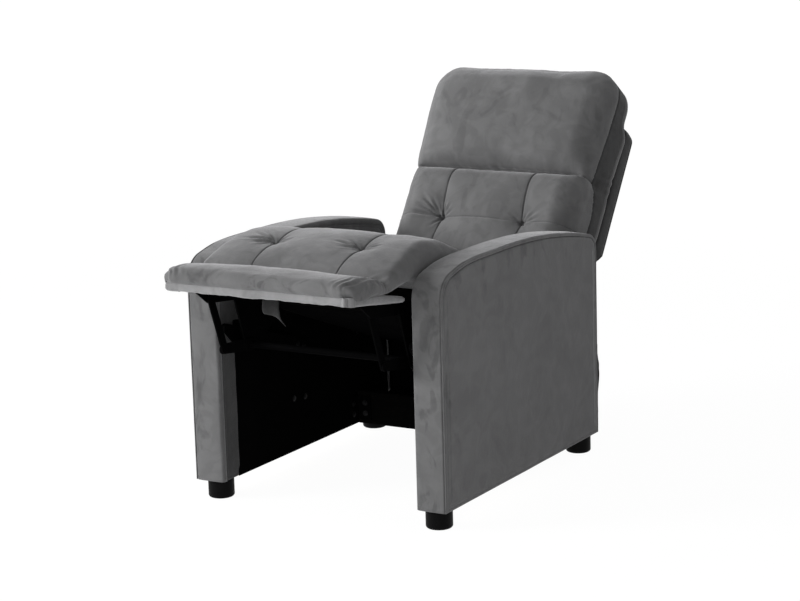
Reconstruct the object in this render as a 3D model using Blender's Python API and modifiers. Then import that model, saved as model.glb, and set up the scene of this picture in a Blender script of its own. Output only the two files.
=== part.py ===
# Push-back recliner: two upholstered arms carry a tilting seat with a reclining back,
# and the tilt folds a padded footrest out on a parallel linkage.
# Metres, +Z up, the front faces -Y and the sitter's left is +X.
# Every point below is measured from the floor under the middle of the arms.
import math

import bmesh
import bpy
from mathutils import Matrix, Vector
from mathutils.geometry import convex_hull_2d

# Clearances and edges
GAP = 0.0003             # between pieces that touch
RUNNING = 0.0006         # round a pin in its hole
LOOSE = 0.0016           # round the pin of the drive link, whose path is not quite a circle
TIMBER_EDGE = 0.002
CLOTH_EDGE = 0.001
WRAPPED_EDGE = 0.006     # round edge of a velvet-wrapped frame piece

# Arms
SEAT_WIDTH = 0.520       # clear width between the arms
ARM_THICKNESS = 0.080
ARM_DEPTH = 0.776
ARM_HEIGHT = 0.598       # floor to the top of the arch
ARM_PEAK_Y = -0.060      # where the arch is highest
ARCH_RADIUS = 1.92
FRONT_CORNER = 0.055     # radius where the front edge turns into the arch
REAR_CORNER = 0.045
BAND_THICKNESS = 0.016   # padded velvet band over the front, top and rear edges
BAND_ROUND = 0.006
COVER_THICKNESS = 0.016  # padded velvet cover of the outer side
COVER_ROUND = 0.007
LINING_THICKNESS = 0.004
ARM_PLY = 0.012
FACING_WIDTH = 0.052     # velvet turned in at the front of the inner side
FACING_BOTTOM = 0.420    # lower edge of the velvet along the top of the inner side
BOTTOM_RAIL_HEIGHT = 0.050
BOTTOM_RAIL_INSET = 0.004

# Feet and cross rail
FOOT_HEIGHT = 0.046
FOOT_DIAMETER = 0.062
FOOT_ROUND = 0.004
FRONT_FOOT_INSET = 0.041  # foot axis behind the front of the arm
REAR_FOOT_INSET = 0.029  # foot axis ahead of the rear of the arm
FOOT_OFFSET = 0.036      # foot axis from the inner side of the arm
CROSS_RAIL_INSET = 0.168  # front face ahead of the rear of the arms
CROSS_RAIL_THICKNESS = 0.025
CROSS_RAIL_HEIGHT = 0.085
ANGLE_LEG = 0.040
ANGLE_HEIGHT = 0.060

# Slack dust cloth across the rear of the arms
CLOTH_THICKNESS = 0.003
DUST_BOTTOM = 0.090
DUST_TOP = 0.262
DUST_BULGE = 0.040
DUST_HEM = 0.012         # from the cloth's side edge to the outer side of the arm

# Joint axes in (y, z)
TILT_AXIS = (0.240, 0.385)
FOLD_AXIS = (-0.360, 0.497)
BACK_AXIS = (0.452, 0.294)
LINK_TOP = (-0.477, 0.510)    # upper pivot of the footrest link, on the footrest
LINK_BOTTOM = (-0.430, 0.381)  # its lower pivot, on the crank
DRIVE_PIN = (-0.3664, 0.4132)  # drive pivot on the crank lever
DRIVE_ANCHOR = (-0.0989, 0.330)  # drive pivot on the arm

# Planes of the seat, back and footrest
BEND = (0.345, 0.430)    # where the seat's top meets the back's face
SEAT_SLOPE = math.radians(20.0)
BACK_SLOPE = math.radians(35.0)
BOARD_SLOPE = math.radians(8.3)

# Steel linkage
STEEL = 0.004
LANE_GAP = 0.0005        # between plates that slide past each other
PIVOT_RADIUS = 0.009
COLLAR_RADIUS = 0.015
RIVET_RADIUS = 0.005
SHAFT_RADIUS = 0.008
BAR_RADIUS = 0.011       # half the width of a flat bar
PIN_PROUD = 0.001        # how far a pin stands out of the plate that turns on it
BRACKET_DROP = 0.090     # tilt bracket below its pivot
BRACKET_FOOT = 0.034
TILT_BOSS = 0.024        # radius of the plates round the tilt pivot
BACK_BOSS = 0.020
PLATE_FOOT = 0.018
PLATE_FRONT = 0.200      # front end of the tilt plate, along the seat
PLATE_REAR = 0.030       # rear end of the tilt plate, forward of the rail's rear
HANGER_FOLD_BOSS = 0.014
HANGER_CRANK_BOSS = 0.017
HANGER_FRONT = 0.020     # front fixing behind the rail's front, and its radius
HANGER_FRONT_BOSS = 0.022
HANGER_REAR = 0.110
HANGER_REAR_BOSS = 0.016
DRIVE_BOSS = 0.016
DRIVE_BRACKET_RUN = 0.070  # the drive bracket runs back and down from its pivot
DRIVE_BRACKET_DROP = 0.030
STRAP_BOSS = 0.016
STRAP_END = 0.013
STRAP_TOP = 0.130        # along the back, above the bend
CRANK_BOSS = 0.015
CRANK_END = 0.0115

# Seat
RAIL_THICKNESS = 0.024
RAIL_HEIGHT = 0.060
RAIL_TOP = -0.120        # below the seat's top, along the seat's normal
RAIL_REAR = -0.060       # along the seat, forward of the bend
RAIL_FRONT = 0.585
CROSS_THICKNESS = 0.025
SPRING_COUNT = 3
SPRING_PITCH = 0.125
SPRING_WIRE = 0.0019
SPRING_SWING = 0.026
SPRING_WAVES = 7
SPRING_TAIL = 0.012      # straight end of a spring at its rail
CUSHION_SIDE_GAP = 0.006  # between the seat cushion and an arm
CUSHION_REAR = 0.006
CUSHION_TOP = -0.015     # top of the cushion's edges, from the seat's plane
CUSHION_CREST = -0.010   # at the crest near its front
CUSHION_REAR_TOP = -0.030
CUSHION_LEVEL_FROM = 0.060  # its top is level between these places along the seat
CUSHION_LEVEL_TO = 0.400
CREST_AT = 0.610
SIDE_PULL = 0.002        # how far a cushion's sides draw in between its ends
RAIL_CLEARANCE = 0.003   # between the cushion's rear and the tilt plates
WIDEN_FROM = 0.270       # the cushion widens forward of the tilt plates
WIDEN_RUN = 0.140
SEAT_CROWN = 0.010
SEAT_SEAM = 0.010        # depth of a sewn seam, and how far it spreads
SEAT_SEAM_SPREAD = 0.018
SEAT_LIFT = 0.010        # how far the cushion's underside rises in front of the rails
FOLD_GAP = 0.0015        # from the cushion and the pad to the fold's plane

# Back
BACK_PAD_DEPTH = 0.145   # from the face between the puffs to the frame
BACK_FRAME_DEPTH = 0.050
BACK_FRAME_TOP = 0.497   # along the back, above the bend
BACK_FRAME_CORNER = 0.030  # radius of its top corners
FRAME_SIDE_GAP = 0.009   # between the frame and the plane of an arm's inner side
STRAP_CLEARANCE = 0.004  # from a strap's end to where the frame widens over it
BACK_FRAME_BOTTOM = -0.072
STILE_WIDTH = 0.0415
BACK_RAIL_HEIGHT = 0.060
BACK_PAD_BOTTOM = 0.010
BACK_SIDE_GAP = 0.0075   # between the back cushion and the plane of an arm's inner side
TUFT_X = 0.114           # tufts and seams either side of the middle
BACK_TUFT_HEIGHT = 0.147
HEAD_SEAM = 0.296
HEAD_TOP = 0.600
HEAD_OVERHANG = 0.004    # how far the head cushion reaches past that plane
BACK_PUFF = 0.030        # how far the puffs stand out between the seams
BACK_EDGE_LIFT = 0.026   # how far the cushions' side edges stand off the frame
BACK_SEAM_SPREAD = 0.024
BACK_TUFT_PULL = 0.012   # depth of a tuft below the seams, and how far it spreads
BACK_TUFT_SPREAD = 0.030
BACK_EDGE_PULL = 0.020   # how far the face falls back at the sides
BACK_HEM_PULL = 0.026    # how far the face falls back at the bottom
BACK_HEM_SPREAD = 0.020
HEAD_DEPTH = 0.120
HEAD_PUFF = 0.044
HEAD_SEAM_PULL = 0.010
HEAD_SEAM_SPREAD = 0.030
HEAD_FLARE = 0.040       # height over which the head cushion widens above its seam

# Footrest
BOARD_SIDE_GAP = 0.025   # between the board and the plane of an arm's inner side
BOARD_THICKNESS = 0.018
BOARD_DROP = 0.018       # underside above the fold axis
BOARD_REAR = 0.012       # forward of the fold axis
BOARD_LENGTH = 0.244
BOARD_ROUND = 0.007
FLANGE_WIDTH = 0.026
FLANGE_THICKNESS = 0.003
BOARD_BRACKET_FRONT = 0.165  # forward of the fold axis
BOARD_BRACKET_REAR = 0.012  # forward of the board's rear
BOARD_BRACKET_BOSS = 0.0125
LUG_RADIUS = 0.005
PAD_SIDE_GAP = 0.007     # between the pad and the plane of an arm's inner side
LIP_SIDE_GAP = 0.014
PAD_OVERHANG = 0.004     # the lip reaches past the front of the board
NOSE_RUN = 0.012         # length of the lip's round front
CREASE_AT = 0.111        # forward of the fold axis
CREASE_RUN = 0.020
TUFT_AT = 0.007
PAD_CREASE = 0.028       # height of the pad above the board at the crease
PAD_LIP = 0.036
PAD_TUFT = 0.088
PAD_FOLD = 0.098
PAD_LIFT = 0.026         # how far the pad's underside rises off the board at the fold
PAD_CROWN = 0.010
PAD_SEAM = 0.008
PAD_SEAM_SPREAD = 0.020
PAD_TUFT_PULL = 0.018
PAD_TUFT_SPREAD = 0.030

# Derived places
ARM_INNER = SEAT_WIDTH / 2
ARM_OUTER = ARM_INNER + ARM_THICKNESS
ARM_FRONT = -ARM_DEPTH / 2
ARM_REAR = ARM_DEPTH / 2
CROSS_RAIL_Y = ARM_REAR - CROSS_RAIL_INSET
BOARD_HALF = ARM_INNER - BOARD_SIDE_GAP
PAD_HALF = ARM_INNER - PAD_SIDE_GAP
LIP_HALF = ARM_INNER - LIP_SIDE_GAP
PAD_FRONT = BOARD_REAR + BOARD_LENGTH + PAD_OVERHANG
BACK_PAD_HALF = ARM_INNER - BACK_SIDE_GAP
FRAME_HALF = ARM_INNER - FRAME_SIDE_GAP
FRAME_STEP = STRAP_TOP + STRAP_END + STRAP_CLEARANCE
HEAD_HALF = ARM_INNER + HEAD_OVERHANG
CRANK_AXIS = tuple(f + b - t for f, b, t in zip(FOLD_AXIS, LINK_BOTTOM, LINK_TOP))
SIDES = (("left", 1), ("right", -1))


def lane(index):
    # Steel plates lie side by side in lanes, counted inwards from the arm
    outer = ARM_INNER - GAP - index * (STEEL + LANE_GAP)
    return outer - STEEL, outer


BASE_LANE = lane(0)
DRIVE_LANE = lane(1)
PLATE_LANE = lane(2)
STRAP_LANE = lane(3)
RAIL_OUTER = PLATE_LANE[0] - GAP
RAIL_INNER = RAIL_OUTER - RAIL_THICKNESS
HANGER_LANE = (RAIL_INNER - GAP - STEEL, RAIL_INNER - GAP)
CRANK_LANE = (HANGER_LANE[0] - LANE_GAP - STEEL, HANGER_LANE[0] - LANE_GAP)
LINK_LANE = (CRANK_LANE[0] - LANE_GAP - STEEL, CRANK_LANE[0] - LANE_GAP)
STILE_OUTER = STRAP_LANE[0] - GAP
STILE_INNER = STILE_OUTER - STILE_WIDTH

FINISHES = {
    "velvet": ((0.090, 0.090, 0.092), 0.80, 0.0),
    "lining": ((0.006, 0.006, 0.006), 0.90, 0.0),
    "plywood": ((0.45, 0.32, 0.19), 0.65, 0.0),
    "timber": ((0.50, 0.36, 0.21), 0.70, 0.0),
    "black_timber": ((0.012, 0.011, 0.011), 0.70, 0.0),
    "black_steel": ((0.012, 0.012, 0.013), 0.45, 0.8),
    "spring_steel": ((0.25, 0.25, 0.26), 0.40, 1.0),
    "foot_plastic": ((0.008, 0.008, 0.009), 0.42, 0.0),
}

for old in list(bpy.data.objects):
    bpy.data.objects.remove(old, do_unlink=True)
parts = bpy.data.collections.new("recliner")
guides = bpy.data.collections.new("recliner_guides")
bpy.context.scene.collection.children.link(parts)
bpy.context.scene.collection.children.link(guides)


def finish(name):
    material = bpy.data.materials.get(name)
    if material is None:
        colour, roughness, metallic = FINISHES[name]
        material = bpy.data.materials.new(name)
        material.use_nodes = True
        shader = material.node_tree.nodes["Principled BSDF"]
        shader.inputs["Base Color"].default_value = (*colour, 1.0)
        shader.inputs["Roughness"].default_value = roughness
        shader.inputs["Metallic"].default_value = metallic
    return material


class Body:
    # An empty on a joint axis, with the (y, z) point that it stands on
    def __init__(self, name, point, parent=None, slope=0.0):
        self.point = point
        self.empty = bpy.data.objects.new(name, None)
        self.empty.empty_display_size = 0.04
        guides.objects.link(self.empty)
        origin = parent.point if parent else (0.0, 0.0)
        if parent:
            self.empty.parent = parent.empty
        self.empty.location = (0.0, point[0] - origin[0], point[1] - origin[1])
        self.empty.rotation_euler.x = -slope


class Plane(Body):
    # A sloping plane fixed to a body: its own points are local, so its origin counts as zero
    def __init__(self, name, point, parent, slope):
        super().__init__(name, point, parent, slope)
        self.point = (0.0, 0.0)


def add_part(name, mesh, material, body, x=0.0, turn=(0.0, 0.0, 0.0)):
    obj = bpy.data.objects.new(name, mesh)
    parts.objects.link(obj)
    obj.parent = body.empty
    obj.location = (x, -body.point[0], -body.point[1])
    obj.rotation_euler = turn
    obj.data.materials.clear()
    obj.data.materials.append(finish(material))
    obj.data.shade_smooth()
    obj.data.set_sharp_from_angle(angle=math.radians(35))
    return obj


def mesh_from(bm, name):
    bmesh.ops.recalc_face_normals(bm, faces=bm.faces)
    mesh = bpy.data.meshes.new(name)
    bm.to_mesh(mesh)
    bm.free()
    return mesh


def curve_mesh(curve, name):
    # A curve's caps are loose, so they are welded to its sides
    holder = bpy.data.objects.new(name, curve)
    bpy.context.scene.collection.objects.link(holder)
    depsgraph = bpy.context.evaluated_depsgraph_get()
    raw = bpy.data.meshes.new_from_object(holder.evaluated_get(depsgraph))
    bpy.data.objects.remove(holder)
    bpy.data.curves.remove(curve)
    bm = bmesh.new()
    bm.from_mesh(raw)
    bpy.data.meshes.remove(raw)
    bmesh.ops.remove_doubles(bm, verts=bm.verts, dist=0.00002)
    return mesh_from(bm, name)


def flat_mesh(name, outlines, thickness, rounding=0.0):
    # The first outline is the rim and the others are holes
    curve = bpy.data.curves.new(name, "CURVE")
    curve.dimensions = "2D"
    curve.fill_mode = "BOTH"
    curve.extrude = thickness / 2 - rounding
    curve.bevel_depth = rounding
    curve.bevel_resolution = 1
    curve.offset = -rounding
    curve.render_resolution_u = 0
    for outline in outlines:
        spline = curve.splines.new("POLY")
        spline.points.add(len(outline) - 1)
        for point, (a, b) in zip(spline.points, outline):
            point.co = (a, b, 0.0, 1.0)
        spline.use_cyclic_u = True
    return curve_mesh(curve, name)


def side_plate(name, outlines, span, side, material, body, rounding=0.0):
    # An outline in (y, z), drawn across the chair from span[0] to span[1]
    mesh = flat_mesh(name, outlines, span[1] - span[0], rounding)
    middle = side * (span[0] + span[1]) / 2
    return add_part(name, mesh, material, body, middle, (math.pi / 2, 0.0, math.pi / 2))


def circle(point, radius, count=20):
    steps = [2 * math.pi * i / count for i in range(count)]
    return [(point[0] + radius * math.cos(a), point[1] + radius * math.sin(a)) for a in steps]


def hull(*discs):
    # The taut outline round discs given as ((y, z), radius)
    cloud = [Vector(p) for centre, radius in discs for p in circle(centre, radius)]
    return [tuple(cloud[i]) for i in convex_hull_2d(cloud)]


def box_mesh(name, low, high):
    bm = bmesh.new()
    bmesh.ops.create_cube(bm, size=1.0)
    size = Vector(high) - Vector(low)
    middle = (Vector(high) + Vector(low)) / 2
    bmesh.ops.scale(bm, vec=size, verts=bm.verts)
    bmesh.ops.translate(bm, vec=middle, verts=bm.verts)
    return mesh_from(bm, name)


def box(name, low, high, material, body, bevel=TIMBER_EDGE, segments=1):
    obj = add_part(name, box_mesh(name, low, high), material, body)
    modifier = obj.modifiers.new("edges", "BEVEL")
    modifier.width = bevel
    modifier.segments = segments
    return obj


def pin_mesh(name, point, radius, x_from, x_to):
    bm = bmesh.new()
    bmesh.ops.create_cone(bm, cap_ends=True, segments=20, radius1=radius, radius2=radius,
                          depth=abs(x_to - x_from))
    bmesh.ops.rotate(bm, matrix=Matrix.Rotation(math.pi / 2, 3, "Y"), verts=bm.verts)
    bmesh.ops.translate(bm, vec=((x_from + x_to) / 2, *point), verts=bm.verts)
    return mesh_from(bm, name)


def fuse(obj, body, meshes):
    # Unites welded pieces with the piece that carries them
    for mesh in meshes:
        tool = bpy.data.objects.new(mesh.name, mesh)
        guides.objects.link(tool)
        tool.parent = body.empty
        tool.location = (0.0, -body.point[0], -body.point[1])
        tool.hide_render = True
        tool.display_type = "WIRE"
        modifier = obj.modifiers.new("weld", "BOOLEAN")
        modifier.operation = "UNION"
        modifier.object = tool


def arc(centre, radius, start, end, count):
    steps = [start + (end - start) * i / count for i in range(count + 1)]
    return [(centre[0] + radius * math.cos(a), centre[1] + radius * math.sin(a)) for a in steps]


def arm_outline(inset, bottom, segments=6):
    # Bottom front, up the front, over the arch and down the rear, set in by a distance
    middle = (ARM_PEAK_Y, ARM_HEIGHT - ARCH_RADIUS)
    front_y = ARM_FRONT + FRONT_CORNER
    rear_y = ARM_REAR - REAR_CORNER
    front_rise = math.sqrt((ARCH_RADIUS - FRONT_CORNER) ** 2 - (front_y - middle[0]) ** 2)
    rear_rise = math.sqrt((ARCH_RADIUS - REAR_CORNER) ** 2 - (rear_y - middle[0]) ** 2)
    front_angle = math.atan2(front_rise, front_y - middle[0])
    rear_angle = math.atan2(rear_rise, rear_y - middle[0])
    front = arc((front_y, middle[1] + front_rise), FRONT_CORNER - inset, math.pi, front_angle, segments)
    top = arc(middle, ARCH_RADIUS - inset, front_angle, rear_angle, 2 * segments)
    rear = arc((rear_y, middle[1] + rear_rise), REAR_CORNER - inset, rear_angle, 0.0, segments)
    return [(ARM_FRONT + inset, bottom), *front, *top[1:-1], *rear, (ARM_REAR - inset, bottom)]


def local(plane_origin, slope, point):
    # A chair point in a sloping plane's own (along the back of the slope, normal)
    dy = point[0] - plane_origin[0]
    dz = point[1] - plane_origin[1]
    return dy * math.cos(slope) - dz * math.sin(slope), dy * math.sin(slope) + dz * math.cos(slope)


def build_arm(side_name, side, base):
    floor = FOOT_HEIGHT + GAP
    core = BAND_THICKNESS + GAP
    cover_inner = ARM_OUTER - COVER_THICKNESS
    rim = arm_outline(0.0, floor)
    band = rim + arm_outline(BAND_THICKNESS, floor)[::-1]
    side_plate(f"arm_band_{side_name}", [band], (ARM_INNER, cover_inner - GAP), side, "velvet", base,
               BAND_ROUND)
    side_plate(f"arm_outer_cover_{side_name}", [rim], (cover_inner, ARM_OUTER), side, "velvet", base,
               COVER_ROUND)

    inner_ply = ARM_INNER + LINING_THICKNESS + GAP
    outer_ply = cover_inner - GAP
    core_outline = arm_outline(core, floor)
    side_plate(f"arm_inner_plate_{side_name}", [core_outline], (inner_ply, inner_ply + ARM_PLY), side,
               "plywood", base)
    side_plate(f"arm_outer_plate_{side_name}", [core_outline], (outer_ply - ARM_PLY, outer_ply), side,
               "plywood", base)

    front = ARM_FRONT + core
    rear = ARM_REAR - core
    turn_in = front + FACING_WIDTH
    skin = (ARM_INNER, ARM_INNER + LINING_THICKNESS)
    upper = [p for p in core_outline if p[1] > FACING_BOTTOM]
    facing = [(front, floor), *upper, (rear, FACING_BOTTOM), (turn_in, FACING_BOTTOM), (turn_in, floor)]
    lining = [(turn_in + GAP, floor), (turn_in + GAP, FACING_BOTTOM - GAP), (rear, FACING_BOTTOM - GAP),
              (rear, floor)]
    side_plate(f"arm_inner_facing_{side_name}", [facing], skin, side, "velvet", base)
    side_plate(f"arm_inner_lining_{side_name}", [lining], skin, side, "lining", base)

    rail_inner = inner_ply + ARM_PLY + GAP
    rail_outer = outer_ply - ARM_PLY - GAP
    ends = sorted((side * rail_inner, side * rail_outer))
    box(f"arm_bottom_rail_{side_name}", (ends[0], front + BOTTOM_RAIL_INSET, floor),
        (ends[1], rear - BOTTOM_RAIL_INSET, floor + BOTTOM_RAIL_HEIGHT), "timber", base)


def build_foot(name, x, y, base):
    # A turned foot: its profile runs from the middle of the top to the middle of the bottom
    radius = FOOT_DIAMETER / 2
    profile = [(0.0, FOOT_HEIGHT), (radius, FOOT_HEIGHT), (radius, FOOT_ROUND),
               (radius - 0.3 * FOOT_ROUND, 0.3 * FOOT_ROUND), (radius - FOOT_ROUND, 0.0), (0.0, 0.0)]
    bm = bmesh.new()
    ring = [bm.verts.new((r, 0.0, z)) for r, z in profile]
    for a, b in zip(ring, ring[1:]):
        bm.edges.new((a, b))
    mesh = bpy.data.meshes.new(name)
    bm.to_mesh(mesh)
    bm.free()
    obj = add_part(name, mesh, "foot_plastic", base)
    obj.location.x += x
    obj.location.y += y
    turn = obj.modifiers.new("turn", "SCREW")
    turn.steps = 24
    turn.render_steps = 24
    turn.use_merge_vertices = True
    turn.merge_threshold = 0.00001


def build_base(base):
    for side_name, side in SIDES:
        build_arm(side_name, side, base)
        x = side * (ARM_INNER + FOOT_OFFSET)
        build_foot(f"foot_front_{side_name}", x, ARM_FRONT + FRONT_FOOT_INSET, base)
        build_foot(f"foot_rear_{side_name}", x, ARM_REAR - REAR_FOOT_INSET, base)
        build_angle(side_name, side, base)
        build_tilt_support(side_name, side, base)
        build_drive_bracket(side_name, side, base)
    span = ARM_INNER - GAP
    rail_bottom = FOOT_HEIGHT + GAP
    box("cross_rail", (-span, CROSS_RAIL_Y, rail_bottom),
        (span, CROSS_RAIL_Y + CROSS_RAIL_THICKNESS, rail_bottom + CROSS_RAIL_HEIGHT), "black_timber", base)
    build_dust_cloth(base)


def build_angle(side_name, side, base):
    # A steel angle in the corner between the cross rail and the arm
    corner_x = ARM_INNER - GAP
    corner_y = CROSS_RAIL_Y - GAP
    corners = [(corner_x, corner_y), (corner_x - ANGLE_LEG, corner_y),
               (corner_x - ANGLE_LEG, corner_y - STEEL), (corner_x - STEEL, corner_y - STEEL),
               (corner_x - STEEL, corner_y - ANGLE_LEG), (corner_x, corner_y - ANGLE_LEG)]
    outline = [(side * a, b) for a, b in corners]
    name = f"rail_angle_{side_name}"
    obj = add_part(name, flat_mesh(name, [outline], ANGLE_HEIGHT), "black_steel", base)
    obj.location.z += FOOT_HEIGHT + (CROSS_RAIL_HEIGHT - ANGLE_HEIGHT) / 2 + ANGLE_HEIGHT / 2


def build_tilt_support(side_name, side, base):
    foot = (TILT_AXIS[0], TILT_AXIS[1] - BRACKET_DROP)
    rim = hull((TILT_AXIS, TILT_BOSS), (foot, BRACKET_FOOT))
    hole = circle(TILT_AXIS, PIVOT_RADIUS + RUNNING)
    side_plate(f"tilt_bracket_{side_name}", [rim, hole], BASE_LANE, side, "black_steel", base)
    name = f"tilt_pin_{side_name}"
    ends = (side * (BASE_LANE[1] - GAP), side * (PLATE_LANE[0] - LANE_GAP))
    obj = add_part(name, pin_mesh(name, TILT_AXIS, PIVOT_RADIUS, *ends), "black_steel", base)
    ends = (side * (DRIVE_LANE[0] - LANE_GAP / 4), side * (DRIVE_LANE[1] + LANE_GAP / 4))
    collar = pin_mesh(f"tilt_collar_{side_name}", TILT_AXIS, COLLAR_RADIUS, *ends)
    fuse(obj, base, [collar])


def build_drive_bracket(side_name, side, base):
    rear = (DRIVE_ANCHOR[0] + DRIVE_BRACKET_RUN, DRIVE_ANCHOR[1] - DRIVE_BRACKET_DROP)
    rim = hull((DRIVE_ANCHOR, DRIVE_BOSS), (rear, DRIVE_BOSS))
    name = f"drive_bracket_{side_name}"
    obj = side_plate(name, [rim], BASE_LANE, side, "black_steel", base)
    ends = (side * (BASE_LANE[0] + STEEL / 2), side * (DRIVE_LANE[0] - GAP))
    stub = pin_mesh(f"drive_stub_{side_name}", DRIVE_ANCHOR, RIVET_RADIUS, *ends)
    fuse(obj, base, [stub])


def build_dust_cloth(base):
    # A slack cloth that bulges out behind the arms
    steps = [i / 10 for i in range(11)]
    rise = DUST_TOP - DUST_BOTTOM
    hang = ARM_REAR + GAP
    inner = [(hang + DUST_BULGE * math.sin(math.pi * t ** 0.8), DUST_BOTTOM + rise * t) for t in steps]
    outer = [(y + CLOTH_THICKNESS, z) for y, z in inner]
    half = ARM_OUTER - DUST_HEM
    side_plate("rear_dust_cloth", [outer + inner[::-1]], (-half, half), 1, "lining", base)


def build_seat(seat, deck):
    top = RAIL_TOP
    bottom = RAIL_TOP - RAIL_HEIGHT
    for side_name, side in SIDES:
        ends = sorted((side * RAIL_INNER, side * RAIL_OUTER))
        box(f"seat_side_rail_{side_name}", (ends[0], -RAIL_FRONT, bottom), (ends[1], -RAIL_REAR, top),
            "black_timber", deck)
        build_seat_steel(side_name, side, seat, deck)
    front_half = HANGER_LANE[0] - GAP
    rear_half = RAIL_INNER - GAP
    front_inner = -RAIL_FRONT + CROSS_THICKNESS
    rear_inner = -RAIL_REAR - CROSS_THICKNESS
    box("seat_front_rail", (-front_half, -RAIL_FRONT, bottom), (front_half, front_inner, top),
        "black_timber", deck)
    box("seat_rear_rail", (-rear_half, rear_inner, bottom), (rear_half, -RAIL_REAR, top), "black_timber", deck)
    for index in range(SPRING_COUNT):
        x = (index - (SPRING_COUNT - 1) / 2) * SPRING_PITCH
        build_spring(f"seat_spring_{index + 1}", x, front_inner + GAP, rear_inner - GAP, deck)
    box("seat_base_cloth", (-front_half, -RAIL_FRONT, bottom - GAP - CLOTH_THICKNESS),
        (front_half, -RAIL_REAR, bottom - GAP), "lining", deck, CLOTH_EDGE)
    build_seat_cushion(deck)


def build_spring(name, x, front, rear, deck):
    # A zigzag spring wire from the front rail to the rear rail
    curve = bpy.data.curves.new(name, "CURVE")
    curve.dimensions = "3D"
    curve.bevel_depth = SPRING_WIRE
    curve.bevel_resolution = 1
    curve.use_fill_caps = True
    curve.render_resolution_u = 0
    count = 4 * SPRING_WAVES
    height = RAIL_TOP - 2 * SPRING_WIRE
    start = front + SPRING_TAIL
    run = rear - front - 2 * SPRING_TAIL
    steps = [i / count for i in range(count + 1)]
    waves = [(x + SPRING_SWING * math.sin(2 * math.pi * SPRING_WAVES * t), start + run * t) for t in steps]
    route = [(x, front), *waves, (x, rear)]
    spline = curve.splines.new("POLY")
    spline.points.add(len(route) - 1)
    for point, (a, b) in zip(spline.points, route):
        point.co = (a, b, height, 1.0)
    add_part(name, curve_mesh(curve, name), "spring_steel", deck)


def build_seat_steel(side_name, side, seat, deck):
    mid_rail = RAIL_TOP - RAIL_HEIGHT / 2
    front_foot = deck_point(PLATE_FRONT, mid_rail)
    rear_foot = deck_point(RAIL_REAR + PLATE_REAR, mid_rail)
    rim = hull((TILT_AXIS, TILT_BOSS), (BACK_AXIS, BACK_BOSS), (front_foot, PLATE_FOOT),
               (rear_foot, PLATE_FOOT))
    holes = [circle(TILT_AXIS, PIVOT_RADIUS + RUNNING), circle(BACK_AXIS, PIVOT_RADIUS + RUNNING)]
    side_plate(f"seat_tilt_plate_{side_name}", [rim, *holes], PLATE_LANE, side, "black_steel", seat)

    front = deck_point(RAIL_FRONT - HANGER_FRONT, mid_rail)
    rear = deck_point(RAIL_FRONT - HANGER_REAR, mid_rail)
    rim = hull((FOLD_AXIS, HANGER_FOLD_BOSS), (CRANK_AXIS, HANGER_CRANK_BOSS), (front, HANGER_FRONT_BOSS),
               (rear, HANGER_REAR_BOSS))
    holes = [circle(FOLD_AXIS, RIVET_RADIUS + RUNNING), circle(CRANK_AXIS, SHAFT_RADIUS + RUNNING)]
    side_plate(f"crank_hanger_{side_name}", [rim, *holes], HANGER_LANE, side, "black_steel", seat)


def deck_point(forward, rise):
    # A point of the seat's own plane, in chair (y, z)
    return (BEND[0] - forward * math.cos(SEAT_SLOPE) + rise * math.sin(SEAT_SLOPE),
            BEND[1] + forward * math.sin(SEAT_SLOPE) + rise * math.cos(SEAT_SLOPE))


def block(cells):
    # A closed cube from -1 to 1 with a grid of cells on each side
    bm = bmesh.new()
    bmesh.ops.create_cube(bm, size=2.0)
    for axis in range(3):
        along = [e for e in bm.edges if abs(e.verts[0].co[axis] - e.verts[1].co[axis]) > 0.001]
        bmesh.ops.subdivide_edges(bm, edges=along, cuts=cells[axis] - 1, use_grid_fill=True)
    return bm


def form(name, cells, shape, material, body):
    bm = block(cells)
    for vert in bm.verts:
        vert.co = shape(*vert.co)
    return add_part(name, mesh_from(bm, name), material, body)


def spread(t, knots):
    # Straight runs between (t, value) knots
    for (t0, a), (t1, b) in zip(knots, knots[1:]):
        if t <= t1:
            return a + (b - a) * (t - t0) / (t1 - t0)
    return knots[-1][1]


def squircle(u, w, power):
    # Rounds the edges of a square section: how far a point of its rim is drawn in
    reach = max(abs(u), abs(w))
    if reach < 1e-6:
        return 1.0
    return reach / (abs(u) ** power + abs(w) ** power) ** (1.0 / power)


def dip(distance, width):
    return math.exp(-(distance / width) ** 2)


def ease(t):
    t = min(max(t, 0.0), 1.0)
    return t * t * (3.0 - 2.0 * t)


def across(u, half):
    # Grid lines fall on the two seams, a quarter of the way in from each side
    seam = 3.0 / 7.0
    width = spread(abs(u), [(0.0, 0.0), (seam, TUFT_X), (1.0, half)])
    return math.copysign(width, u)


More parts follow.
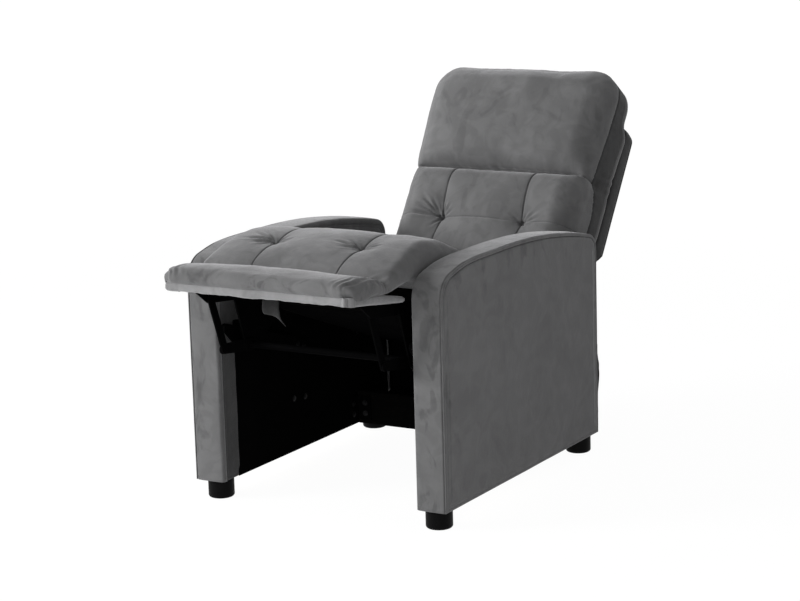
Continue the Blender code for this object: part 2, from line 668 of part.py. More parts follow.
def build_seat_cushion(deck):
    fold = -local(BEND, SEAT_SLOPE, FOLD_AXIS)[0]
    front = fold - FOLD_GAP
    base = RAIL_TOP + GAP
    wide = ARM_INNER - CUSHION_SIDE_GAP
    narrow = PLATE_LANE[0] - RAIL_CLEARANCE
    pad_top = BOARD_DROP + BOARD_THICKNESS + GAP + PAD_FOLD
    fold_top = local(BEND, SEAT_SLOPE, FOLD_AXIS)[1] + pad_top / math.cos(SEAT_SLOPE - BOARD_SLOPE)
    tops = [(CUSHION_REAR, CUSHION_REAR_TOP), (CUSHION_LEVEL_FROM, CUSHION_TOP),
            (CUSHION_LEVEL_TO, CUSHION_TOP), (CREST_AT, CUSHION_CREST), (front, fold_top)]

    def shape(u, v, w):
        along = front + (CUSHION_REAR - front) * (v + 1) / 2
        half = narrow + (wide - narrow) * ease((along - WIDEN_FROM) / WIDEN_RUN) - SIDE_PULL * (1.0 - v * v)
        drawn = squircle(u, w, 5.0)
        x = across(u, half) * drawn
        seam = SEAT_SEAM * dip(abs(x) - TUFT_X, SEAT_SEAM_SPREAD)
        crown = SEAT_CROWN * (1.0 - u * u)
        top = spread(along, tops) + crown - seam
        bottom = base + SEAT_LIFT * ease((along - RAIL_FRONT) / (fold - RAIL_FRONT))
        height = (w * drawn + 1) / 2
        return x, -along, bottom + (top - bottom) * height

    form("seat_cushion", (14, 12, 3), shape, "velvet", deck)


def frame_edge():
    # The outer edge of the back's frame in (x, height), from its foot up and round the top corner
    corner = (FRAME_HALF - BACK_FRAME_CORNER, BACK_FRAME_TOP - BACK_FRAME_CORNER)
    return [(STILE_OUTER, BACK_FRAME_BOTTOM), (STILE_OUTER, FRAME_STEP), (FRAME_HALF, FRAME_STEP),
            *arc(corner, BACK_FRAME_CORNER, 0.0, math.pi / 2, 5)]


def upright(name, outline, front, depth, plane, rounding=0.0):
    # An outline in the back's own (x, height), drawn through its depth
    mesh = flat_mesh(name, [outline], depth, rounding)
    obj = add_part(name, mesh, "velvet", plane, turn=(math.pi / 2, 0.0, 0.0))
    obj.location.y += front + depth / 2


def build_back(back, plane):
    front = BACK_PAD_DEPTH + GAP
    rear = front + BACK_FRAME_DEPTH
    edge = frame_edge()
    for side_name, side in SIDES:
        outline = [(side * x, h) for x, h in [(STILE_INNER, BACK_FRAME_BOTTOM), *edge,
                                              (STILE_INNER, BACK_FRAME_TOP)]]
        upright(f"back_stile_{side_name}", outline, front, BACK_FRAME_DEPTH, plane, WRAPPED_EDGE)
        build_strap(side_name, side, back)
    half = STILE_INNER - GAP
    box("back_top_rail", (-half, front, BACK_FRAME_TOP - BACK_RAIL_HEIGHT), (half, rear, BACK_FRAME_TOP),
        "velvet", plane, WRAPPED_EDGE, segments=2)
    box("back_bottom_rail", (-half, front, BACK_FRAME_BOTTOM),
        (half, rear, BACK_FRAME_BOTTOM + BACK_RAIL_HEIGHT), "black_timber", plane)
    cover = edge + [(-x, h) for x, h in edge[::-1]]
    upright("back_rear_cover", cover, rear + GAP, CLOTH_THICKNESS, plane)
    web_bottom = BACK_FRAME_BOTTOM + BACK_RAIL_HEIGHT + GAP
    web_top = BACK_FRAME_TOP - BACK_RAIL_HEIGHT - GAP
    box("back_webbing", (-half, front, web_bottom), (half, front + CLOTH_THICKNESS, web_top),
        "lining", plane, CLOTH_EDGE)
    build_back_cushion(plane)
    build_head_cushion(plane)


def back_point(depth, height):
    # A point of the back's own plane, in chair (y, z)
    return (BEND[0] + depth * math.cos(BACK_SLOPE) + height * math.sin(BACK_SLOPE),
            BEND[1] - depth * math.sin(BACK_SLOPE) + height * math.cos(BACK_SLOPE))


def build_strap(side_name, side, back):
    middle = BACK_PAD_DEPTH + BACK_FRAME_DEPTH / 2
    rim = hull((BACK_AXIS, STRAP_BOSS), (back_point(middle, STRAP_TOP), STRAP_END))
    obj = side_plate(f"back_strap_{side_name}", [rim], STRAP_LANE, side, "black_steel", back)
    ends = (side * (STRAP_LANE[1] - STEEL / 2), side * (PLATE_LANE[1] + LANE_GAP))
    stub = pin_mesh(f"back_stub_{side_name}", BACK_AXIS, PIVOT_RADIUS, *ends)
    fuse(obj, back, [stub])


def build_back_cushion(plane):
    def shape(u, v, w):
        # v runs from the face to the frame, w up the back
        height = spread(w, [(-1.0, BACK_PAD_BOTTOM), (0.0, BACK_TUFT_HEIGHT), (1.0, HEAD_SEAM - GAP)])
        drawn = squircle(u, v, 5.0) if v < 0 else 1.0
        x = across(u, BACK_PAD_HALF) * (drawn if abs(u) > 0.9 else 1.0)
        row = abs(height - BACK_TUFT_HEIGHT)
        seams = max(dip(abs(x) - TUFT_X, BACK_SEAM_SPREAD), dip(row, BACK_SEAM_SPREAD),
                    dip(height - HEAD_SEAM, BACK_SEAM_SPREAD))
        puff = BACK_PUFF * (1.0 - seams) * (1.0 - abs(u) ** 6)
        tuft = BACK_TUFT_PULL * dip(math.hypot(abs(x) - TUFT_X, row), BACK_TUFT_SPREAD)
        hem = BACK_HEM_PULL * dip(height - BACK_PAD_BOTTOM, BACK_HEM_SPREAD)
        face = -puff + tuft + hem + BACK_EDGE_PULL * abs(u) ** 8
        rear = BACK_PAD_DEPTH - BACK_EDGE_LIFT * abs(u) ** 6
        depth = face + (rear - face) * (v + 1) / 2
        return x, depth, height

    form("back_cushion", (14, 3, 10), shape, "velvet", plane)


def build_head_cushion(plane):
    def shape(u, v, w):
        height = HEAD_SEAM + GAP + (HEAD_TOP - HEAD_SEAM - GAP) * (w + 1) / 2
        middle = (HEAD_SEAM + HEAD_TOP) / 2
        corner = squircle(u, w, 9.0) if w > 0 else 1.0
        section = squircle(w, v, 4.0) if w > 0 else 1.0
        drawn = squircle(u, v, 5.0)
        half = HEAD_HALF - (HEAD_HALF - BACK_PAD_HALF) * dip(height - HEAD_SEAM, HEAD_FLARE)
        x = half * u * corner * drawn
        height = middle + (height - middle) * corner * section
        seam = dip(height - HEAD_SEAM, HEAD_SEAM_SPREAD)
        puff = HEAD_PUFF * (1.0 - seam) * (1.0 - abs(u) ** 6) * (1.0 - max(w, 0.0) ** 6)
        face = -puff + HEAD_SEAM_PULL * seam
        depth = face + (HEAD_DEPTH - face) * (v * section + 1) / 2
        return x, depth, height

    form("head_cushion", (14, 4, 8), shape, "velvet", plane)


def build_footrest(footrest, board):
    low = (-BOARD_HALF, -BOARD_REAR - BOARD_LENGTH, BOARD_DROP)
    high = (BOARD_HALF, -BOARD_REAR, BOARD_DROP + BOARD_THICKNESS)
    box("footrest_board", low, high, "velvet", board, BOARD_ROUND, segments=3)
    build_footrest_pad(board)
    for side_name, side in SIDES:
        build_footrest_bracket(side_name, side, footrest, board)


def board_point(forward, rise):
    # A point of the footrest board's own plane, in chair (y, z)
    return (FOLD_AXIS[0] - forward * math.cos(BOARD_SLOPE) + rise * math.sin(BOARD_SLOPE),
            FOLD_AXIS[1] + forward * math.sin(BOARD_SLOPE) + rise * math.cos(BOARD_SLOPE))


def build_footrest_bracket(side_name, side, footrest, board):
    # A steel angle under the board that carries the fold pivot and the link's upper pivot
    under = BOARD_DROP - GAP
    front = board_point(BOARD_BRACKET_FRONT, under - LUG_RADIUS)
    rear = board_point(BOARD_REAR + BOARD_BRACKET_REAR, under - LUG_RADIUS)
    rim = hull((FOLD_AXIS, BOARD_BRACKET_BOSS), (LINK_TOP, BOARD_BRACKET_BOSS), (front, LUG_RADIUS),
               (rear, LUG_RADIUS))
    name = f"footrest_bracket_{side_name}"
    obj = side_plate(name, [rim], CRANK_LANE, side, "black_steel", footrest)
    ends = (side * (CRANK_LANE[1] - STEEL / 2), side * HANGER_LANE[1])
    fold_pin = pin_mesh(f"fold_pin_{side_name}", FOLD_AXIS, RIVET_RADIUS, *ends)
    ends = (side * (CRANK_LANE[0] + STEEL / 2), side * (LINK_LANE[0] - PIN_PROUD))
    link_pin = pin_mesh(f"link_pin_{side_name}", LINK_TOP, RIVET_RADIUS, *ends)
    fuse(obj, footrest, [fold_pin, link_pin])
    ends = sorted((side * (CRANK_LANE[0] + STEEL / 2), side * (CRANK_LANE[0] - FLANGE_WIDTH)))
    low = (ends[0], -BOARD_BRACKET_FRONT, under - FLANGE_THICKNESS)
    high = (ends[1], -BOARD_REAR - BOARD_BRACKET_REAR, under)
    flange = box_mesh(f"bracket_flange_{side_name}", low, high)
    fuse(obj, board, [flange])


def build_footrest_pad(board):
    seat_lean = math.tan(SEAT_SLOPE - BOARD_SLOPE)
    base = BOARD_DROP + BOARD_THICKNESS + GAP
    nose = PAD_FRONT - NOSE_RUN
    # Rows from the lip's front edge to the fold: place, then heights of the top above the board
    rows = [(-1.0, PAD_FRONT), (-5 / 6, nose), (-1 / 6, CREASE_AT), (4 / 6, TUFT_AT), (1.0, 0.0)]
    climb = PAD_TUFT - PAD_CREASE
    tops = [(-1.0, 0.55 * PAD_CREASE), (-5 / 6, PAD_CREASE), (-3 / 6, PAD_LIP), (-1 / 6, PAD_CREASE),
            (0.0, PAD_CREASE + 0.40 * climb), (1 / 6, PAD_CREASE + 0.66 * climb), (4 / 6, PAD_TUFT),
            (1.0, PAD_FOLD)]

    def shape(u, v, w):
        forward = spread(v, rows)
        lip = ease((forward - CREASE_AT) / CREASE_RUN + 0.5)
        half = PAD_HALF + (LIP_HALF - PAD_HALF) * lip
        drawn = squircle(u, w, 4.0)
        x = across(u, half) * drawn
        rear = ease((CREASE_AT - forward) / CREASE_AT)
        seam = PAD_SEAM * rear * dip(abs(x) - TUFT_X, PAD_SEAM_SPREAD)
        tuft = PAD_TUFT_PULL * dip(math.hypot(abs(x) - TUFT_X, forward - TUFT_AT), PAD_TUFT_SPREAD)
        bottom = base + PAD_LIFT * rear
        crown = PAD_CROWN * rear * (1.0 - u * u)
        top = base + spread(v, tops) + crown - seam - tuft
        height = (w * drawn + 1) / 2
        rise = bottom + (top - bottom) * height
        # The rear face leans back with the seat, along the plane through the fold axis
        forward += (FOLD_GAP - rise * seat_lean) * rear
        return x, -forward, rise

    form("footrest_pad", (14, 12, 3), shape, "velvet", board)


def build_crank(crank):
    # A cross shaft with a footrest crank and a drive lever welded near each end
    length = PLATE_LANE[1]
    shaft = pin_mesh("crank_shaft", CRANK_AXIS, SHAFT_RADIUS, -length, length)
    obj = add_part("crank_shaft", shaft, "black_steel", crank)
    for side_name, side in SIDES:
        rim = hull((CRANK_AXIS, CRANK_BOSS), (LINK_BOTTOM, CRANK_END))
        arm = tool_plate(f"crank_arm_{side_name}", rim, CRANK_LANE, side)
        rim = hull((CRANK_AXIS, CRANK_BOSS), (DRIVE_PIN, BAR_RADIUS))
        lever = tool_plate(f"crank_lever_{side_name}", rim, PLATE_LANE, side)
        ends = (side * (CRANK_LANE[0] + STEEL / 2), side * (LINK_LANE[0] - PIN_PROUD))
        link_pin = pin_mesh(f"crank_pin_{side_name}", LINK_BOTTOM, RIVET_RADIUS, *ends)
        ends = (side * (PLATE_LANE[1] - STEEL / 2), side * DRIVE_LANE[1])
        drive_pin = pin_mesh(f"lever_pin_{side_name}", DRIVE_PIN, RIVET_RADIUS, *ends)
        fuse(obj, crank, [arm, lever, link_pin, drive_pin])


def tool_plate(name, rim, span, side):
    # A plate as a bare mesh, turned from its outline's plane to stand along the chair
    mesh = flat_mesh(name, [rim], span[1] - span[0])
    turn = Matrix.Rotation(math.pi / 2, 4, "Z") @ Matrix.Rotation(math.pi / 2, 4, "X")
    mesh.transform(Matrix.Translation((side * (span[0] + span[1]) / 2, 0.0, 0.0)) @ turn)
    return mesh


def build_links(link, drive):
    for side_name, side in SIDES:
        rim = hull((LINK_TOP, BAR_RADIUS), (LINK_BOTTOM, BAR_RADIUS))
        holes = [circle(LINK_TOP, RIVET_RADIUS + RUNNING), circle(LINK_BOTTOM, RIVET_RADIUS + RUNNING)]
        side_plate(f"footrest_link_{side_name}", [rim, *holes], LINK_LANE, side, "black_steel", link)
        rim = hull((DRIVE_ANCHOR, BAR_RADIUS), (DRIVE_PIN, BAR_RADIUS))
        holes = [circle(DRIVE_ANCHOR, RIVET_RADIUS + RUNNING), circle(DRIVE_PIN, RIVET_RADIUS + LOOSE)]
        side_plate(f"drive_link_{side_name}", [rim, *holes], DRIVE_LANE, side, "black_steel", drive)


def centre_on_floor(base):
    # The origin ends up on the floor under the middle of the whole chair
    depsgraph = bpy.context.evaluated_depsgraph_get()
    reach = []
    for obj in parts.objects:
        seen = obj.evaluated_get(depsgraph)
        reach += [(seen.matrix_world @ vert.co).y for vert in seen.data.vertices]
    base.empty.location.y -= (min(reach) + max(reach)) / 2


def main():
    base = Body("base", (0.0, 0.0))
    seat = Body("seat_axis", TILT_AXIS, base)
    back = Body("back_axis", BACK_AXIS, seat)
    footrest = Body("fold_axis", FOLD_AXIS, seat)
    crank = Body("crank_axis", CRANK_AXIS, seat)
    link = Body("link_axis", LINK_TOP, footrest)
    drive = Body("drive_axis", DRIVE_ANCHOR, base)
    deck = Plane("seat_plane", BEND, seat, SEAT_SLOPE)
    face = Plane("back_plane", BEND, back, BACK_SLOPE)
    board = Plane("board_plane", FOLD_AXIS, footrest, BOARD_SLOPE)

    build_base(base)
    build_seat(seat, deck)
    build_back(back, face)
    build_footrest(footrest, board)
    build_crank(crank)
    build_links(link, drive)
    centre_on_floor(base)
    bpy.context.view_layer.update()
    for body in (seat, back, footrest, crank, link, drive):
        place = body.empty.matrix_world.translation
        print(f"{body.empty.name}: y {place.y:.5f} z {place.z:.5f}")
    print(f"{len(parts.objects)} pieces")


main()
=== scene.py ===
import math
from itertools import product

import bmesh
import bpy
import numpy as np
from mathutils import Matrix, Vector


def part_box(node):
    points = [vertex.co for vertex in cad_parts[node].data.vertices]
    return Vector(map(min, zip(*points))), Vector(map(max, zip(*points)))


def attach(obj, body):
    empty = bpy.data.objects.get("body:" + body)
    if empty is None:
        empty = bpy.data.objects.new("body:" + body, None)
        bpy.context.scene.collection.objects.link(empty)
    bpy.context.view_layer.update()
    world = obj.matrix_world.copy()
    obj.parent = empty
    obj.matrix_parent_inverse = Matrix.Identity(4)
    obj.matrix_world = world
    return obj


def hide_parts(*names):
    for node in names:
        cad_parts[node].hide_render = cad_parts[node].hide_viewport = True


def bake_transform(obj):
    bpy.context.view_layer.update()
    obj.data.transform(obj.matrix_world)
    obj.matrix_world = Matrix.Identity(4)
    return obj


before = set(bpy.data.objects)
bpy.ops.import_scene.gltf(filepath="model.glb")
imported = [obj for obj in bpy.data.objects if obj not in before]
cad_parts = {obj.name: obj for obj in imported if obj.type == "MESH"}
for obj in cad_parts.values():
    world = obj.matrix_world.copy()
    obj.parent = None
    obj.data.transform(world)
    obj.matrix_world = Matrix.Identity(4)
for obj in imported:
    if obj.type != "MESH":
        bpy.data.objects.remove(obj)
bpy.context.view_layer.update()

scene = bpy.context.scene
scene.view_settings.view_transform = "Standard"

# Shapes are written in the chair's own frame: floor level, middle of the arms
armLow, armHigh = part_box("arm_outer_cover_left")
rearShift = (armLow.y + armHigh.y) / 2
sides = (("left", 1.0), ("right", -1.0))
print("recliner: frame loaded, arms stand", round(rearShift, 4), "from the middle")


# Small tools for shapes

tiny = 1e-9
weldDistance = 1e-6


class Settings(dict):
    # The settings of a piece, read by name
    __getattr__ = dict.__getitem__


def xyz(*axes):
    # Points from their columns; a single number fills its column
    return np.stack(np.broadcast_arrays(*axes), -1).reshape(-1, len(axes)).astype(float)


def toWorld(points):
    return np.asarray(points, float).reshape(-1, 3) + [0, rearShift, 0]


def lengths(rows):
    return np.maximum(np.linalg.norm(rows, axis=1, keepdims=True), tiny)


def ease(low, high, value):
    t = np.clip((np.asarray(value, float) - low) / (high - low), 0.0, 1.0)
    return t * t * (3 - 2 * t)


def bump(distance, width):
    return np.exp(-(np.asarray(distance, float) / width) ** 2)


def dent(distance, depth, width):
    # round in its middle
    return depth * bump(distance, width)


def nip(distance, depth, width):
    # pointed in its middle
    return depth * np.exp(-np.abs(distance) / width)


def softNoise(points, size, seed):
    # Smooth lattice noise from -1 to 1, one cell for each size in metres
    p = np.asarray(points, float) / size + seed * 7.31
    cell = np.floor(p).astype(np.int64)
    part = p - cell
    part = part * part * (3 - 2 * part)
    out = np.zeros(len(p))
    for corner in product((0, 1), repeat=3):
        c = cell + np.array(corner)
        h = c[:, 0] * 73856093 ^ c[:, 1] * 19349663 ^ c[:, 2] * 83492791 ^ seed * 40503
        h = (h ^ (h >> 13)) * 1274126177
        h = (h ^ (h >> 16)) & 0xFFFF
        share = np.prod(np.where(np.array(corner) == 1, part, 1 - part), axis=1)
        out += share * (h / 32767.5 - 1)
    return out


def ripples(points, *waves):
    # waves: depth, size, seed
    return sum(depth * softNoise(points, size, seed) for depth, size, seed in waves)


def through(knots, values, at):
    # A smooth curve through values given at knots
    knots, values = np.asarray(knots, float), np.asarray(values, float)
    slope = np.gradient(values, knots, axis=0)
    i = np.clip(np.searchsorted(knots, at, side="right") - 1, 0, len(knots) - 2)
    span = (knots[i + 1] - knots[i])[:, None]
    t = (at - knots[i])[:, None] / span
    return ((2 * t**3 - 3 * t**2 + 1) * values[i] + (t**3 - 2 * t**2 + t) * span * slope[i]
            + (3 * t**2 - 2 * t**3) * values[i + 1] + (t**3 - t**2) * span * slope[i + 1])


def lattice(us, vs, ws):
    # The skin of a block of cells: the place of each point in the block, and the quads
    ids = -np.ones((len(us), len(vs), len(ws)), int)
    skin = np.zeros(ids.shape, bool)
    skin[[0, -1]] = skin[:, [0, -1]] = skin[:, :, [0, -1]] = True
    ids[skin] = np.arange(skin.sum())
    quads = []
    for axis, end in product(range(3), (0, -1)):
        f = np.take(ids, end, axis)
        quads.append(np.stack([f[:-1, :-1], f[1:, :-1], f[1:, 1:], f[:-1, 1:]], -1).reshape(-1, 4))
    i, j, k = np.argwhere(skin).T
    return xyz(us[i], vs[j], ws[k]), np.concatenate(quads)


def clustered(low, high, lines, form):
    # Places form.spacing apart, drawn together to form.fine at the sewn lines
    x = np.linspace(low, high, 6001)
    dense = np.full(len(x), 1 / form.spacing)
    for line in lines:
        dense += (1 / form.fine - 1 / form.spacing) * bump(x - line, form.reach)
    total = np.concatenate([[0], np.cumsum((dense[1:] + dense[:-1]) / 2 * np.diff(x))])
    out = np.interp(np.linspace(0, total[-1], int(round(total[-1])) + 1), total, x)
    for line in lines:
        out[np.abs(out - line).argmin()] = line
    return out


def roundOff(points, half, radius):
    inner = np.clip(points, radius - half, half - radius)
    away = points - inner
    return inner + away / lengths(away) * radius


def gridQuads(rows, columns, wrap=False):
    ids = np.arange(rows * columns).reshape(rows, columns)
    if wrap:
        ids = np.column_stack([ids, ids[:, 0]])
    return np.stack([ids[:-1, :-1], ids[:-1, 1:], ids[1:, 1:], ids[1:, :-1]], -1).reshape(-1, 4)


def tubeFaces(rows, columns):
    # A tube of rings, closed at both ends
    ends = [list(range(first, first + columns)) for first in (0, (rows - 1) * columns)]
    return gridQuads(rows, columns, wrap=True).tolist() + ends


def assign(thing, **values):
    for name, value in values.items():
        setattr(thing, name, value)
    return thing


def link(name, data):
    obj = bpy.data.objects.new(name, data)
    scene.collection.objects.link(obj)
    return obj


def makePiece(name, points, faces, material, weld=True):
    mesh = bpy.data.meshes.new(name)
    mesh.from_pydata(points.tolist(), [], faces if isinstance(faces, list) else faces.tolist())
    bm = bmesh.new()
    bm.from_mesh(mesh)
    if weld:
        bmesh.ops.remove_doubles(bm, verts=bm.verts, dist=weldDistance)
    bmesh.ops.recalc_face_normals(bm, faces=bm.faces)
    bm.to_mesh(mesh)
    bm.free()
    mesh.polygons.foreach_set("use_smooth", [True] * len(mesh.polygons))
    mesh.materials.append(material)
    return link(name, mesh)


def declare(piece, slot, body=None, stands=(), fill=None, **sheet):
    # What a piece rides on and stands for; the slot it is made of is not used
    if body is not None:
        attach(piece, body)
    if stands:
        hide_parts(*stands)


def evaluated(obj):
    return obj.evaluated_get(bpy.context.evaluated_depsgraph_get())


def readAll(items, key, width, kind=np.float32):
    out = np.empty(len(items) * width, kind)
    items.foreach_get(key, out)
    return out.reshape(-1, width)


def readPoints(mesh):
    return readAll(mesh.vertices, "co", 3).astype(float)


def writePoints(mesh, points):
    mesh.vertices.foreach_set("co", np.asarray(points, np.float32).ravel())
    mesh.update()


def keepValues(mesh, **values):
    for name, value in values.items():
        mesh.attributes.new(name, "FLOAT", "POINT").data.foreach_set("value", np.asarray(value, np.float32))


def takeValues(mesh, *names):
    # Reads the values kept on a mesh's points, and removes them
    found = []
    for name in names:
        found.append(readAll(mesh.attributes[name].data, "value", 1)[:, 0].astype(float))
        mesh.attributes.remove(mesh.attributes[name])
    return found


creaseForm = Settings(narrow=0.45, widen=0.9, start=(0.001, 0.010), fadeFrom=0.25, ridge=0.5, ridgeAt=2.1)


def creaseFan(dx, dy, creases):
    # Creases that run out from a tuft: angle, length, depth, width, bend
    f = creaseForm
    out = np.zeros(len(dx))
    for angle, length, depth, width, bend in creases:
        c, q = math.cos(math.radians(angle)), math.sin(math.radians(angle))
        along, across = dx * c + dy * q, dy * c - dx * q
        across = across - bend * along**2 / length
        wide = width * (f.narrow + f.widen * np.clip(along / length, 0, 1))
        fade = ease(*f.start, along) * ease(length, f.fadeFrom * length, along)
        out += depth * fade * (bump(across, wide) - dent(np.abs(across) - f.ridgeAt * wide, f.ridge, wide))
    return out


def subdivide(obj):
    skin = obj.modifiers.new("smoothSkin", "SUBSURF")
    assign(skin, levels=1, render_levels=1, boundary_smooth="PRESERVE_CORNERS")
    fine, old = bpy.data.meshes.new_from_object(evaluated(obj)), obj.data
    obj.modifiers.remove(skin)
    obj.data = fine
    bpy.data.meshes.remove(old)
    fine.name = obj.name


stuffingForm = Settings(
    frames=20, cap=0.009, sideways=0.25, spreadTurns=50, spreadShare=0.6, levelReach=0.006,
    cloth=dict(quality=4, mass=0.25, tension_stiffness=14, compression_stiffness=14, shear_stiffness=6,
               bending_stiffness=0.4, use_pressure=True, uniform_pressure_force=3.0, shrink_min=-0.010,
               vertex_group_mass="sewn", pin_stiffness=1.0))


def evenOut(mesh, move, loose):
    # Spreads the swelling evenly between the sewn lines
    a, b = readAll(mesh.edges, "vertices", 2, np.int32).T
    count = len(mesh.vertices)
    share = np.bincount(a, minlength=count) + np.bincount(b, minlength=count)
    for _ in range(stuffingForm.spreadTurns):
        around = np.column_stack([(np.bincount(a, move[b, k], count) + np.bincount(b, move[a, k], count)) / share
                                  for k in range(3)])
        move = move + stuffingForm.spreadShare * loose[:, None] * (around - move)
    return move


def inflate(obj, *holds):
    # Blows a sewn cover up over its filling: a hold is 1 where the cover is sewn down or rests on its frame
    f = stuffingForm
    pins = np.clip(np.maximum.reduce(holds), 0, 1)
    start = readPoints(obj.data)
    group = obj.vertex_groups.new(name="sewn")
    for level in np.unique(np.round(pins, 2)):
        if level > 0:
            picked = np.flatnonzero(np.abs(pins - level) < f.levelReach)
            group.add(picked.tolist(), float(level), "REPLACE")
    cloth = obj.modifiers.new("stuffing", "CLOTH")
    assign(cloth.settings, **f.cloth)
    cloth.settings.effector_weights.gravity = 0.0
    cloth.collision_settings.use_collision = False
    assign(cloth.point_cache, frame_start=1, frame_end=f.frames)
    for number in range(1, f.frames + 1):
        scene.frame_set(number)
    swollen = evaluated(obj)
    end = readPoints(swollen.to_mesh())
    swollen.to_mesh_clear()
    obj.modifiers.remove(cloth)
    obj.vertex_groups.remove(group)
    scene.frame_set(1)
    # the arms leave room for a share of the swelling sideways
    move = (end - start) * [f.sideways, 1, 1]
    move = evenOut(obj.data, move * np.minimum(1.0, f.cap / lengths(move)), 1 - pins)
    writePoints(obj.data, start + move)
    print("recliner:", obj.name, "swelled by up to", round(float(lengths(move).max()), 4))


# Finishes

def feed(tree, node, given):
    # given: values or sockets for a node's inputs, by name or by place
    for key, value in given.items():
        if isinstance(value, bpy.types.NodeSocket):
            tree.links.new(value, node.inputs[key])
        else:
            node.inputs[key].default_value = value
    return node


def addNode(tree, kind, given=None, **settings):
    return feed(tree, assign(tree.nodes.new(kind), **settings), given or {})


def mathNode(tree, operation, *values):
    return addNode(tree, "ShaderNodeMath", dict(enumerate(values)), operation=operation).outputs["Value"]


def layered(tree, start, *layers):
    # Adds shares of values to a start value
    for value, share in layers:
        start = mathNode(tree, "MULTIPLY_ADD", value, share, start)
    return start


def noiseNode(tree, where, scale, detail=2.0, distortion=0.0, stretch=None, shift=0.0):
    if stretch is not None:
        given = {"Vector": where, "Scale": stretch, "Location": [shift] * 3}
        where = addNode(tree, "ShaderNodeMapping", given).outputs["Vector"]
    given = {"Vector": where, "Scale": scale, "Detail": detail, "Distortion": distortion}
    return addNode(tree, "ShaderNodeTexNoise", given).outputs["Fac"]


def spread(tree, value, low, high, outLow=0.0, outHigh=1.0):
    given = {"Value": value, "From Min": low, "From Max": high, "To Min": outLow, "To Max": outHigh}
    return addNode(tree, "ShaderNodeMapRange", given, interpolation_type="SMOOTHSTEP").outputs["Result"]


def mixColours(tree, factor, dark, light):
    # the colour sockets of a mix node stand after its number sockets
    return addNode(tree, "ShaderNodeMix", {0: factor, 6: dark, 7: light}, data_type="RGBA").outputs[2]


def grey(colour, level=1.0):
    return (*(level * c for c in colour), 1.0)


def bumpNode(tree, *heights):
    # heights: value, depth in metres
    normal = {}
    for value, depth in heights:
        node = addNode(tree, "ShaderNodeBump", {"Strength": 1.0, "Distance": depth, "Height": value, **normal})
        normal = {"Normal": node.outputs["Normal"]}
    return normal


def freshMaterial(name):
    material = bpy.data.materials.new(name)
    material.use_nodes = True
    tree = material.node_tree
    return material, tree, tree.nodes["Principled BSDF"], addNode(tree, "ShaderNodeTexCoord").outputs["Object"]


velvetLook = Settings(
    dark=(0.050, 0.050, 0.051), light=(0.168, 0.168, 0.170), sheen=0.40, sheenRoughness=0.40,
    sheenTint=(0.9, 0.9, 0.92, 1.0), specular=0.25, roughness=(0.82, 0.94), marks=0.12, tone=0.36, nap=0.13,
    mottle=0.16, pile=0.14, smudges=(5.5, 3.0, 0.9), smudgeLimits=(0.34, 0.66), naps=(13.0, 3.0, 1.8),
    napLimits=(0.40, 0.62), blots=(1.0, 4.0, 1.6, (17.0, 17.0, 9.0)), blotLimits=(0.54, 0.67),
    mottles=(120.0, 4.0), mottleLimits=(0.3, 0.7), piles=1500.0, bumps=(0.0006, 0.0005, 0.00025))
# Where hands have turned the pile, as limits on y and z, and how much there and in the rest
armWear = Settings(y=(-0.37, -0.47), z=(0.47, 0.56), marks=0.22, rest=0.04, shift=4.4)
padWear = Settings(y=(-0.60, -0.66), z=(2.0, 3.0), marks=0.20, rest=0.12, shift=4.4)


# level gives brighter and darker copies of the same velvet: painted light and painted shade
def velvetMaterial(name, level=1.0, worn=None, fade=None, blotch=0.24):
    # fade: limits on z between which the colour darkens to painted shade, and the level below them
    v = velvetLook
    material, tree, shader, where = freshMaterial(name)
    smudge = spread(tree, noiseNode(tree, where, *v.smudges), *v.smudgeLimits)
    nap = spread(tree, noiseNode(tree, where, *v.naps), *v.napLimits)
    marks = spread(tree, noiseNode(tree, where, *v.blots, worn.shift if worn else 0.0), *v.blotLimits)
    mottle, pile = noiseNode(tree, where, *v.mottles), noiseNode(tree, where, v.piles)
    amount = v.marks
    axes = addNode(tree, "ShaderNodeSeparateXYZ", {0: where}).outputs
    if worn:
        front, high = (spread(tree, axes[axis.upper()], *worn[axis]) for axis in "yz")
        amount = mathNode(tree, "MULTIPLY_ADD", mathNode(tree, "MAXIMUM", front, high), worn.marks, worn.rest)
    tone = layered(tree, v.tone - blotch / 2, (smudge, blotch), (nap, v.nap), (mottle, v.mottle), (pile, v.pile))
    tone = mathNode(tree, "SUBTRACT", tone, mathNode(tree, "MULTIPLY", marks, amount))
    colour = mixColours(tree, tone, grey(v.dark, level), grey(v.light, level))
    # painted shade: below the fade's limits on z the velvet takes a darker colour
    if fade:
        low = level * fade["level"]
        paintedShadeColour = mixColours(tree, tone, grey(v.dark, low), grey(v.light, low))
        colour = mixColours(tree, spread(tree, axes["Z"], *fade["z"]), colour, paintedShadeColour)
    feed(tree, shader, {"Base Color": colour, "Roughness": spread(tree, mottle, *v.mottleLimits, *v.roughness),
                        "Specular IOR Level": v.specular, "Sheen Weight": v.sheen * level,
                        "Sheen Roughness": v.sheenRoughness, "Sheen Tint": v.sheenTint,
                        **bumpNode(tree, *zip((smudge, mottle, pile), v.bumps))})
    return material


speckleLook = Settings(coarse=(14.0, 4.0, 0.4), fine=(3.0, 0.0), start=-0.05, coarseShare=0.5, fineShare=0.6,
                       limits=(0.25, 0.75), roughBy=0.1, smoothest=0.05)


